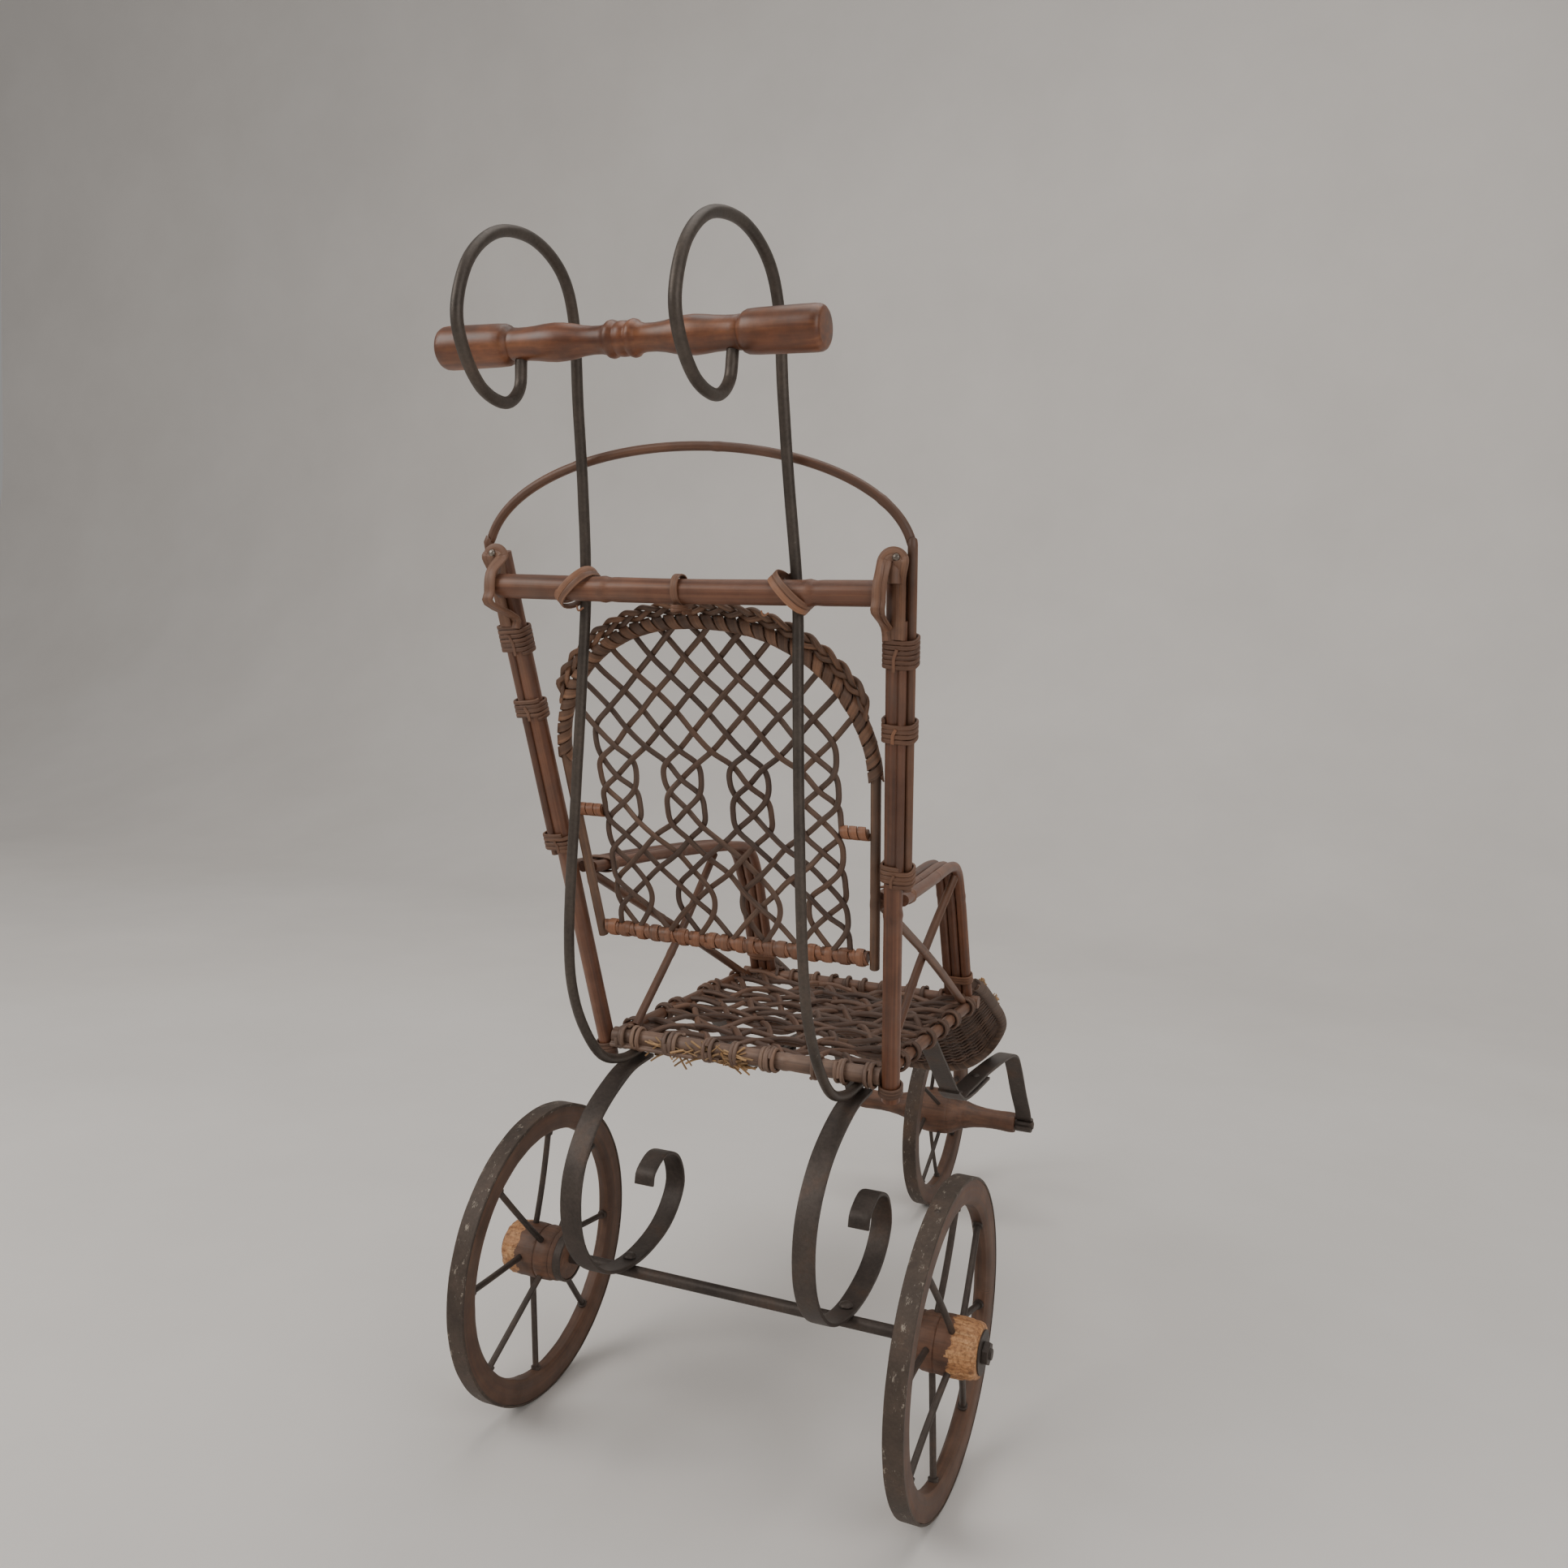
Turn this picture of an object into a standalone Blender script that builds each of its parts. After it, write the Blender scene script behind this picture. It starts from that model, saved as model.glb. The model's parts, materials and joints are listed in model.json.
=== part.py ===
"""Antique doll stroller: wicker chair on three spoked wheels, iron springs and a turned wood grip.

Metres, +Z up, wheels on Z = 0, front wheel towards +Y. Places are given from the rear axle's
middle (Y) and the ground (Z); one empty then shifts everything so that the origin lies under
the middle of the object's box.
"""
from math import cos, pi, radians, sin, sqrt

import bmesh
import bpy
from mathutils import Vector

GAP = 0.0003                  # left between pieces that touch

# wheels and axles
REAR_R = 0.1125
FRONT_R = 0.0980
TRACK_HALF = 0.1604
WHEEL_BASE = 0.5220
TYRE_WIDTH = 0.0137
TYRE_THICK = 0.0020
RIM_WIDTH = 0.0130
RIM_DEPTH = 0.0175
SPOKES = 8
SPOKE_R_REAR = 0.00235
SPOKE_R_FRONT = 0.0020
SPOKE_STAGGER = 0.0085        # spokes enter the hub in two rows, this far from its middle
BUSH_R = 0.0075
AXLE_R = 0.0045
REAR_HUB_R = 0.0200
REAR_HUB_LENGTH = 0.0520
BAND_R = 0.0185
BAND_LENGTH = 0.0060
FRONT_HUB_HALF = 0.0850

# iron straps
STRAP_WIDTH = 0.0160
STRAP_THICK = 0.0030
SPRING_X = 0.0866
FRONT_STRAP_X = 0.0945

# handle
ROD_R = 0.0035
GRIP_HALF = 0.1205
GRIP_Y = -0.1954
GRIP_Z = 0.7469
GRIP_NECK_R = 0.0092

# chair frame
SEAT_Z = 0.2890
SEAT_REAR_Y = 0.0044
SEAT_FRONT_Y = 0.2475
POST_R = 0.0063
POST_FOOT_X = 0.1116
POST_TOP_X = 0.1366
POST_FOOT_Z = 0.2745
POST_TOP_Z = 0.6320
POST_LEAN = -0.3296           # metres back for each metre up
HOOP_R = 0.0030
HOOP_TOP_Z = 0.7006
HOOP_FOOT_Z = 0.4280           # its legs end in the arm bindings
TOP_RAIL_R = 0.0078
TOP_RAIL_Y = -0.1180
TOP_RAIL_Z = 0.6130
SIDE_RAIL_X = 0.1035
SIDE_RAIL_R = 0.0050
REAR_RAIL_R = 0.0060
FRONT_RAIL_R = 0.0055

# back panel
BACK_AHEAD = 0.0040           # the panel's plane lies this far in front of the posts' plane
ARCH_R = 0.0045
ARCH_TOP_Z = 0.5945
BINDING_ROOM = 0.0030         # between a post and the arch leg beside it, for the wound bindings
ARCH_SPRING_Z = 0.5000        # where the arch leaves its straight legs
ARCH_FOOT_Z = 0.3620           # its legs end just below the lower rail
LOWER_RAIL_Z = 0.3760
LATTICE_CELL = 0.0490
LATTICE_HALF = 0.0860
STRAND = 0.0032

# footrest
FOOT_HALF = 0.0995
FOOT_TOP_Y = 0.2610
FOOT_RUN = 0.1300
FOOT_TOP_Z = 0.2850
FOOT_DROP = 0.0980
FOOT_RIM_R = 0.0050

CENTRE_Y = (WHEEL_BASE + FRONT_R - 0.2604 - ROD_R) / 2

LOOKS = {
    "iron": ((0.055, 0.045, 0.038), 0.55, 0.8),
    "tyre_iron": ((0.075, 0.058, 0.047), 0.6, 0.7),
    "rim_wood": ((0.105, 0.052, 0.030), 0.6, 0.0),
    "hub_wood": ((0.150, 0.070, 0.038), 0.6, 0.0),
    "grip_wood": ((0.230, 0.090, 0.040), 0.4, 0.0),
    "bamboo": ((0.150, 0.065, 0.035), 0.45, 0.0),
    "cane": ((0.125, 0.068, 0.042), 0.55, 0.0),
    "binding": ((0.160, 0.085, 0.050), 0.6, 0.0),
    "wicker": ((0.085, 0.055, 0.042), 0.7, 0.0),
}


def clear_scene():
    for item in list(bpy.data.objects):
        bpy.data.objects.remove(item, do_unlink=True)


def make_materials():
    made = {}
    for name, (colour, roughness, metallic) in LOOKS.items():
        material = bpy.data.materials.new(name)
        material.use_nodes = True
        shader = material.node_tree.nodes["Principled BSDF"]
        shader.inputs["Base Color"].default_value = (*colour, 1.0)
        shader.inputs["Roughness"].default_value = roughness
        shader.inputs["Metallic"].default_value = metallic
        made[name] = material
    return made


def add_empty(name, place, parent=None):
    empty = bpy.data.objects.new(name, None)
    empty.location = place
    empty.parent = parent
    bpy.context.collection.objects.link(empty)
    return empty


def add_object(name, data, look, parent):
    data.materials.append(MATERIALS[look])
    item = bpy.data.objects.new(name, data)
    item.parent = parent
    bpy.context.collection.objects.link(item)
    return item


def add_mesh(name, points, faces, look, parent, sharp=40):
    mesh = bpy.data.meshes.new(name)
    mesh.from_pydata([tuple(point) for point in points], [], faces)
    shell = bmesh.new()
    shell.from_mesh(mesh)
    bmesh.ops.recalc_face_normals(shell, faces=shell.faces)
    shell.to_mesh(mesh)
    shell.free()
    mesh.shade_smooth()
    mesh.set_sharp_from_angle(angle=radians(sharp))
    return add_object(name, mesh, look, parent)


def smooth_path(points, steps=4):
    """Catmull-Rom curve through the points, with steps pieces between each pair."""
    knots = [Vector(point) for point in points]
    knots = [2 * knots[0] - knots[1], *knots, 2 * knots[-1] - knots[-2]]
    path = []
    for a, b, c, d in zip(knots, knots[1:], knots[2:], knots[3:]):
        for step in range(steps):
            t = step / steps
            path.append(0.5 * (2 * b + (c - a) * t + (2 * a - 5 * b + 4 * c - d) * t ** 2
                               + (3 * b - a - 3 * c + d) * t ** 3))
    path.append(knots[-2])
    return path


def tube(name, points, radius, look, parent, resolution=1):
    """Round cane or rod along the points, with closed ends."""
    curve = bpy.data.curves.new(name, "CURVE")
    curve.dimensions = "3D"
    curve.bevel_depth = radius
    curve.bevel_resolution = resolution
    curve.use_fill_caps = True
    spline = curve.splines.new("POLY")
    spline.points.add(len(points) - 1)
    for slot, point in zip(spline.points, points):
        slot.co = (*point, 1.0)
    spline.use_smooth = True
    return add_object(name, curve, look, parent)


def swept(name, path, section, look, parent):
    """Sweep a section, given as (along X, along the path's normal), along a path in side view."""
    points = []
    for index, place in enumerate(path):
        before = path[max(index - 1, 0)]
        after = path[min(index + 1, len(path) - 1)]
        tangent = (after - before).normalized()
        normal = tangent.cross(Vector((1, 0, 0))).normalized()
        points += [place + Vector((across, 0, 0)) + normal * up for across, up in section]
    count = len(section)
    faces = []
    for ring in range(len(path) - 1):
        for k in range(count):
            a = ring * count + k
            b = ring * count + (k + 1) % count
            faces.append((a, b, b + count, a + count))
    faces.append(tuple(range(count)))
    faces.append(tuple(range(len(points) - count, len(points))))
    return add_mesh(name, points, faces, look, parent)


def strap(name, path, look, parent, width=STRAP_WIDTH, thick=STRAP_THICK):
    half = width / 2
    flat = thick / 2
    return swept(name, path, [(-half, -flat), (half, -flat), (half, flat), (-half, flat)], look, parent)


def turned(name, profile, look, parent, sides=20, ring=False, sharp=40):
    """Turn (x, radius) points about X. A ring profile is a closed outline; others get flat ends."""
    points = []
    for x, radius in profile:
        for k in range(sides):
            angle = 2 * pi * k / sides
            points.append((x, radius * cos(angle), radius * sin(angle)))
    rows = len(profile)
    faces = []
    for row in range(rows if ring else rows - 1):
        for k in range(sides):
            a = row * sides + k
            b = row * sides + (k + 1) % sides
            c = (row + 1) % rows * sides
            faces.append((a, b, c + (k + 1) % sides, c + k))
    if not ring:
        faces.append(tuple(range(sides)))
        faces.append(tuple(range(len(points) - sides, len(points))))
    return add_mesh(name, points, faces, look, parent, sharp)


def sleeve(name, inner, outer, length, look, parent, sides=16):
    half = length / 2
    outline = [(-half, inner), (-half, outer), (half, outer), (half, inner)]
    return turned(name, outline, look, parent, sides, ring=True)


def squared(value, power=0.6):
    """Push a sine or cosine outwards, so that an ellipse becomes a rounded box."""
    return abs(value) ** power * (1 if value > 0 else -1)


def band_ring(name, centre, axis, reach, length, look, parent, thick=0.0016, sides=16):
    """Wound band: a rounded sleeve round centre; reach is (half width, half depth) of its hole."""
    mesh_object = sleeve(name, 1.0, 1.0, length, look, parent, sides)
    half = length / 2
    points = mesh_object.data.vertices
    for row, (x, grow) in enumerate([(-half, 0.0), (-half, thick), (half, thick), (half, 0.0)]):
        for k in range(sides):
            angle = 2 * pi * k / sides
            across = (reach[0] + grow) * squared(cos(angle))
            deep = (reach[1] + grow) * squared(sin(angle))
            points[row * sides + k].co = (x, across, deep)
    turn = Vector((1, 0, 0)).rotation_difference(axis)
    flat = turn @ Vector((0, 1, 0))
    level = Vector((1, 0, 0)) if abs(axis.x) < 0.5 else Vector((0, 1, 0))
    level = (level - axis * level.dot(axis)).normalized()
    twist = flat.rotation_difference(level)
    mesh_object.rotation_mode = "QUATERNION"
    mesh_object.rotation_quaternion = twist @ turn
    mesh_object.location = centre
    return mesh_object


def boolean(target, tool, operation):
    cut = target.modifiers.new(operation.lower(), "BOOLEAN")
    cut.operation = operation
    cut.object = tool
    cut.solver = "EXACT"
    tool.hide_render = True
    tool.display_type = "WIRE"


# ------------------------------------------------------------------ wheels

def spoke_set(name, radius, start, end, first_angle, parent, sides=6):
    """All the spokes of a wheel as separate bars in one mesh."""
    points = []
    faces = []
    for index in range(SPOKES):
        angle = first_angle + 2 * pi * index / SPOKES
        outward = Vector((0, cos(angle), sin(angle)))
        stagger = SPOKE_STAGGER if index % 2 else -SPOKE_STAGGER
        root = outward * start + Vector((stagger, 0, 0))
        tip = outward * end
        along = (tip - root).normalized()
        side = along.cross(Vector((1, 0, 0))).normalized()
        up = along.cross(side)
        base = len(points)
        for place in (root, tip):
            for k in range(sides):
                turn = 2 * pi * k / sides
                points.append(place + radius * (side * cos(turn) + up * sin(turn)))
        for k in range(sides):
            after = (k + 1) % sides
            faces.append((base + k, base + after, base + sides + after, base + sides + k))
        faces.append(tuple(range(base, base + sides)))
        faces.append(tuple(range(base + sides, base + 2 * sides)))
    return add_mesh(name, points, faces, "iron", parent)


def wheel(prefix, place, radius, hub_profile, bush_half, spoke_r, first_angle):
    """Iron tyre, wood rim, turned hub, and iron spokes screwed into the hub's iron bush."""
    centre = add_empty(prefix + "_centre", place, FRAME)
    sleeve(prefix + "_tyre", radius - TYRE_THICK, radius, TYRE_WIDTH, "tyre_iron", centre, 40)
    rim_outer = radius - TYRE_THICK - GAP
    rim_inner = rim_outer - RIM_DEPTH
    half = RIM_WIDTH / 2
    belly = rim_inner + 0.004
    outline = [(-half, rim_outer), (half, rim_outer), (half, belly), (half - 0.0025, rim_inner),
               (0.0025 - half, rim_inner), (-half, belly)]
    turned(prefix + "_rim", outline, "rim_wood", centre, 40, ring=True)

    hub = turned(prefix + "_hub", hub_profile, "hub_wood", centre, 16, ring=True)
    bores = spoke_set(prefix + "_spoke_bores", spoke_r + GAP, BUSH_R - 0.0012, rim_inner, first_angle, centre)
    boolean(hub, bores, "DIFFERENCE")

    spokes = sleeve(prefix + "_spokes", AXLE_R + GAP, BUSH_R, 2 * bush_half, "iron", centre, 12)
    bars = spoke_set(prefix + "_spoke_bars", spoke_r, BUSH_R - 0.0012, rim_inner - 3 * GAP, first_angle, centre)
    boolean(spokes, bars, "UNION")
    return centre


def rear_hub_profile(outward):
    """Hub outline from its inner end, where the band sits, to its blunt outer end."""
    half = REAR_HUB_LENGTH / 2
    bore = BUSH_R + GAP
    seat = BAND_R - 0.0018 - GAP
    shape = [(-half, bore), (-half, seat), (BAND_LENGTH - half, seat), (BAND_LENGTH - half, 0.0180),
             (-0.012, REAR_HUB_R), (0.012, REAR_HUB_R), (half - 0.003, 0.0185), (half, 0.0160), (half, bore)]
    return [(x * outward, radius) for x, radius in shape]


def front_hub_profile():
    """Long spindle: fat in the middle, waisted, with a slightly swollen end on each side."""
    bore = BUSH_R + GAP
    right = [(0.0, 0.0235), (0.014, 0.0225), (0.026, 0.0165), (0.042, 0.0115), (0.062, 0.0098),
             (0.078, 0.0105), (FRONT_HUB_HALF, 0.0098)]
    left = [(-x, radius) for x, radius in reversed(right[1:])]
    return [(-FRONT_HUB_HALF, bore), *left, *right, (FRONT_HUB_HALF, bore)]


def build_wheels():
    for side, outward in (("left", -1), ("right", 1)):
        prefix = "rear_" + side
        first = radians(-93) if outward < 0 else radians(-97)
        place = (outward * TRACK_HALF, 0, REAR_R)
        centre = wheel(prefix, place, REAR_R, rear_hub_profile(outward), REAR_HUB_LENGTH / 2 - GAP,
                       SPOKE_R_REAR, first)
        band = sleeve(prefix + "_hub_band", BAND_R - 0.0018, BAND_R, BAND_LENGTH, "iron", centre)
        band.location.x = -outward * (REAR_HUB_LENGTH - BAND_LENGTH) / 2
    wheel("front", (0, WHEEL_BASE, FRONT_R), FRONT_R, front_hub_profile(), FRONT_HUB_HALF - 0.001,
          SPOKE_R_FRONT, radians(-80))


# ------------------------------------------------------------------ running gear

def straight(name, start, end, radius, look, parent, resolution=2):
    return tube(name, [Vector(start), Vector(end)], radius, look, parent, resolution)


def build_axles():
    reach = TRACK_HALF + REAR_HUB_LENGTH / 2 + 0.0070
    straight("rear_axle", (-reach, 0, REAR_R), (reach, 0, REAR_R), AXLE_R, "iron", FRAME)
    for side, outward in (("left", -1), ("right", 1)):
        nut = sleeve("rear_" + side + "_nut", (AXLE_R + GAP) / cos(pi / 6), 0.0082, 0.0045, "iron", FRAME, 6)
        nut.location = (outward * (TRACK_HALF + REAR_HUB_LENGTH / 2 + 0.0032), 0, REAR_R)
    reach = FRONT_STRAP_X + STRAP_WIDTH / 2 + 0.0015
    straight("front_axle", (-reach, WHEEL_BASE, FRONT_R), (reach, WHEEL_BASE, FRONT_R), AXLE_R, "iron", FRAME)


def side_view(points, x):
    return [Vector((x, y, z)) for y, z in points]


def build_rear_springs():
    """C-shaped strap from under the seat's rear rail, riveted on the axle and scrolled at its end."""
    seat_z = SEAT_Z - REAR_RAIL_R - 2 * ROD_R - 3 * GAP - STRAP_THICK / 2
    axle_z = REAR_R + AXLE_R + GAP + STRAP_THICK / 2
    shape = [(0.018, seat_z), (-0.018, seat_z - 0.005), (-0.060, 0.2450), (-0.0820, 0.2080), (-0.0770, 0.1640),
             (-0.0460, 0.1310), (0.004, axle_z), (0.0520, 0.1275), (0.0760, 0.1520), (0.0680, 0.1780),
             (0.0460, 0.1880), (0.0270, 0.1800), (0.0240, 0.1700)]
    for side, x in (("left", -SPRING_X), ("right", SPRING_X)):
        strap("rear_" + side + "_spring", smooth_path(side_view(shape, x), 3), "iron", FRAME)
        head = [(0.0, 0.0048), (0.0014, 0.0042), (0.0026, 0.0020)]
        rivet = turned("rear_" + side + "_spring_rivet", head, "iron", FRAME, 10)
        rivet.rotation_euler.y = -pi / 2
        rivet.location = (x, 0.004, axle_z + STRAP_THICK / 2 + 4 * GAP)


def build_front_straps():
    """Bent strap from the seat's side rail to the front axle, its end rolled into an eye."""
    top = SEAT_Z - SIDE_RAIL_R - 4 * GAP - STRAP_THICK / 2
    run = [(0.098, top), (0.140, top - 0.0005), (0.170, 0.2600), (0.2310, 0.2110), (0.2600, 0.2070),
           (0.3200, 0.2060), (0.3900, 0.2015), (0.4320, 0.1950), (0.4540, 0.1800), (0.4860, 0.1420),
           (0.5100, 0.1160)]
    eye_r = AXLE_R + GAP + STRAP_THICK / 2
    turns = [radians(120 - 30 * step) for step in range(11)]
    eye = [(WHEEL_BASE + eye_r * cos(turn), FRONT_R + eye_r * sin(turn)) for turn in turns]
    for side, x in (("left", -FRONT_STRAP_X), ("right", FRONT_STRAP_X)):
        path = smooth_path(side_view(run, x), 2) + side_view(eye, x)
        strap("front_" + side + "_strap", path, "iron", FRAME)


# ------------------------------------------------------------------ handle

def build_handle():
    """Two iron rods rise behind the back, loop over and end under the turned grip."""
    foot_z = SEAT_Z - REAR_RAIL_R - GAP - ROD_R
    rise = [(SPRING_X, 0.0170, foot_z), (SPRING_X, -0.0180, foot_z), (SPRING_X, -0.0520, 0.2930),
            (0.0860, -0.0850, 0.3350), (0.0840, -0.0990, 0.3860), (0.0790, -0.1030, 0.4800),
            (0.0755, -0.1045, 0.5600), (0.0735, -0.1063, 0.6130), (0.0705, -0.1180, 0.6735),
            (0.0690, -0.1290, 0.7250)]
    loop = [(0.0680, -0.1374, 0.7714), (0.0670, -0.1540, 0.7965), (0.0660, -0.1868, 0.8075),
            (0.0650, -0.2240, 0.8015), (0.0650, -0.2500, 0.7810), (0.0650, -0.2604, 0.7530),
            (0.0650, -0.2540, 0.7320), (0.0655, -0.2360, 0.7150), (0.0660, -0.2120, 0.7110),
            (0.0665, -0.1975, 0.7210), (0.0670, GRIP_Y, GRIP_Z - GRIP_NECK_R - 2 * GAP)]
    for side, mirror in (("left", -1), ("right", 1)):
        points = [(mirror * x, y, z) for x, y, z in rise + loop]
        tube("handle_" + side + "_rod", smooth_path(points, 3), ROD_R, "iron", FRAME, 1)

    right = [(0.0, 0.0098), (0.004, 0.0104), (0.009, 0.0098), (0.012, 0.0078), (0.022, 0.0078),
             (0.036, 0.0102), (0.046, 0.0108), (0.060, GRIP_NECK_R), (0.071, GRIP_NECK_R + 0.0004),
             (0.075, 0.0115), (0.080, 0.0120), (0.1165, 0.0125), (GRIP_HALF, 0.0095)]
    left = [(-x, radius) for x, radius in reversed(right[1:])]
    grip = turned("grip", left + right, "grip_wood", FRAME, 16)
    grip.location = (0, GRIP_Y, GRIP_Z)


# ------------------------------------------------------------------ chair frame

def post_x(z):
    return POST_FOOT_X + (z - SEAT_Z) * (POST_TOP_X - POST_FOOT_X) / (POST_TOP_Z - SEAT_Z)


def post_y(z):
    return SEAT_REAR_Y + (z - SEAT_Z) * POST_LEAN


def back_y(z):
    return post_y(z) + BACK_AHEAD


def post_axis(mirror):
    low = Vector((mirror * post_x(0.30), post_y(0.30), 0.30))
    high = Vector((mirror * post_x(0.60), post_y(0.60), 0.60))
    return (high - low).normalized()


def build_posts():
    """Leaning bamboo posts, the cane saddles over their tops and the wound bindings."""
    cane_out = POST_R + HOOP_R + GAP
    for side, mirror in (("left", -1), ("right", 1)):
        foot = (mirror * post_x(POST_FOOT_Z), post_y(POST_FOOT_Z), POST_FOOT_Z)
        top = (mirror * post_x(POST_TOP_Z), post_y(POST_TOP_Z), POST_TOP_Z)
        straight("post_" + side, foot, top, POST_R, "bamboo", FRAME)

        reach = POST_R + 0.0013
        low_z = 0.6180
        path = []
        for x, z in [(-reach, low_z), (-reach, POST_TOP_Z), (-reach * 0.75, POST_TOP_Z + 0.0040),
                     (0, POST_TOP_Z + 0.0052), (reach * 0.4, POST_TOP_Z + 0.0042)]:
            path.append(Vector((mirror * post_x(z) + x * mirror, post_y(z), z)))
        saddle(side, path)

        axis = post_axis(mirror)
        for label, z, length in (("top", 0.5800, 0.0200), ("middle", 0.5330, 0.0140), ("arm", 0.4390, 0.0130)):
            middle = Vector((mirror * (post_x(z) + HOOP_R), post_y(z), z))
            reach_x = POST_R + HOOP_R + 3 * GAP
            band_ring("post_" + side + "_" + label + "_binding", middle, axis,
                      (reach_x, POST_R + 2 * GAP), length, "binding", FRAME)

    hoop = []
    for z in (HOOP_FOOT_Z, 0.54, POST_TOP_Z):
        hoop.append(Vector((post_x(z) + cane_out, post_y(z), z)))
    crown = HOOP_TOP_Z - POST_TOP_Z
    half = post_x(POST_TOP_Z) + cane_out
    end_y = post_y(POST_TOP_Z)
    for step in range(1, 8):
        angle = pi / 2 * step / 8
        hoop.append(Vector((half * cos(angle), end_y - 0.004 * sin(angle), POST_TOP_Z + crown * sin(angle))))
    left = [Vector((-point.x, point.y, point.z)) for point in reversed(hoop)]
    hoop.append(Vector((0, end_y - 0.004, HOOP_TOP_Z)))
    tube("hoop", hoop + left, HOOP_R, "cane", FRAME, 1)


def saddle(side, path):
    """Split-cane strip bent over a post's top, lying across the view from behind."""
    half = 0.0035
    flat = 0.0009
    points = []
    for index, place in enumerate(path):
        before = path[max(index - 1, 0)]
        after = path[min(index + 1, len(path) - 1)]
        tangent = (after - before).normalized()
        normal = tangent.cross(Vector((0, 1, 0))).normalized()
        for deep, up in ((-half, -flat), (half, -flat), (half, flat), (-half, flat)):
            points.append(place + Vector((0, deep, 0)) + normal * up)
    faces = [(0, 1, 2, 3), tuple(len(points) - 4 + k for k in range(4))]
    for ring in range(len(path) - 1):
        for k in range(4):
            a = 4 * ring + k
            b = 4 * ring + (k + 1) % 4
            faces.append((a, b, b + 4, a + 4))
    add_mesh("saddle_" + side, points, faces, "binding", FRAME)


def build_top_rail():
    """Bamboo rail between the posts, with the lashings that hold the rods and the arch to it."""
    reach = post_x(TOP_RAIL_Z) - 0.0045
    straight("top_rail", (-reach, TOP_RAIL_Y, TOP_RAIL_Z), (reach, TOP_RAIL_Y, TOP_RAIL_Z),
             TOP_RAIL_R, "bamboo", FRAME)
    for side, mirror in (("left", -1), ("right", 1)):
        centre = Vector((mirror * 0.0735, TOP_RAIL_Y + ROD_R, TOP_RAIL_Z))
        diagonal = Vector((1, 0, mirror)).normalized()
        round_rail_and_rod = (TOP_RAIL_R + ROD_R + 0.0025, 1.5 * TOP_RAIL_R + 0.0050)
        band_ring("lashing_" + side, centre, diagonal, round_rail_and_rod, 0.0050,
                  "binding", FRAME, 0.0014)
    centre = Vector((0, TOP_RAIL_Y, TOP_RAIL_Z))
    band_ring("arch_tie", centre, Vector((1, 0, 0)), (TOP_RAIL_R + GAP, TOP_RAIL_R + GAP), 0.0060,
              "binding", FRAME, 0.0016)


# ------------------------------------------------------------------ back panel

def arch_points(offset, spring_z, legs):
    """Half the arch, from its right leg's foot to the crown, offset outwards in the panel's plane."""
    spring_x = post_x(spring_z) - POST_R - ARCH_R - BINDING_ROOM
    points = []
    for z in legs:
        points.append((post_x(z) - POST_R - ARCH_R - BINDING_ROOM + offset, z))
    rise = ARCH_TOP_Z - spring_z
    for step in range(9):
        angle = pi / 2 * step / 8
        points.append(((spring_x + offset) * cos(angle) ** 0.9, spring_z + (rise + offset) * sin(angle)))
    return points


def mirror_across(points):
    right = [Vector((x, back_y(z), z)) for x, z in points]
    left = [Vector((-point.x, point.y, point.z)) for point in reversed(right[:-1])]
    return right + left


def build_back():
    frame = mirror_across(arch_points(0.0, ARCH_SPRING_Z, (ARCH_FOOT_Z, 0.4200)))
    tube("back_arch", frame, ARCH_R, "cane", FRAME, 1)

    outline = arch_points(ARCH_R + 0.0045, ARCH_SPRING_Z, ())[3:]
    tube("arch_braid", mirror_across(outline), 0.0040, "wicker", FRAME, 1)

    reach = post_x(LOWER_RAIL_Z) - POST_R - 2 * ARCH_R - BINDING_ROOM - GAP
    y = back_y(LOWER_RAIL_Z)
    straight("back_lower_rail", (-reach, y, LOWER_RAIL_Z), (reach, y, LOWER_RAIL_Z), 0.0060, "cane", FRAME)

    strut_z = 0.4630
    y = back_y(strut_z)
    outer = post_x(strut_z) - POST_R - 2 * ARCH_R - BINDING_ROOM - GAP
    for side, mirror in (("left", -1), ("right", 1)):
        straight("back_strut_" + side, (mirror * (LATTICE_HALF + 0.003), y, strut_z),
                 (mirror * outer, y, strut_z), 0.0045, "binding", FRAME)
    build_lattice()


def inside_arch(x, z):
    """Whether a lattice corner is clear of the arch, the lower rail and the panel's open sides."""
    low = LOWER_RAIL_Z + 0.0085
    if z < low or abs(x) > LATTICE_HALF - STRAND / 2:
        return False
    if z < ARCH_SPRING_Z:
        return True
    half = post_x(ARCH_SPRING_Z) - POST_R - 2 * ARCH_R - 0.003
    rise = ARCH_TOP_Z - ARCH_SPRING_Z - ARCH_R - 0.003
    return (x / half) ** 2 + ((z - ARCH_SPRING_Z) / rise) ** 2 < 1


def build_lattice():
    """Diagonal cane lattice: a flat net of diamonds, thickened into one body."""
    half = LATTICE_CELL / 2
    net = bmesh.new()
    corners = {}

    def corner(column, row):
        key = (column, row)
        if key not in corners:
            x = column * half
            z = LOWER_RAIL_Z + 0.0090 + row * half * 1.04
            corners[key] = (x, z)
        return corners[key]

    made = {}
    for row in range(1, 10):
        for column in range(-4, 5):
            if (row + column) % 2:
                continue
            cell = [(column, row - 1), (column + 1, row), (column, row + 1), (column - 1, row)]
            if not all(inside_arch(*corner(*key)) for key in cell):
                continue
            for key in cell:
                if key not in made:
                    x, z = corner(*key)
                    made[key] = net.verts.new((x, back_y(z), z))
            net.faces.new([made[key] for key in cell])
    mesh = bpy.data.meshes.new("back_lattice")
    net.to_mesh(mesh)
    net.free()
    lattice = add_object("back_lattice", mesh, "wicker", FRAME)
    wires(lattice, STRAND)


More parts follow.
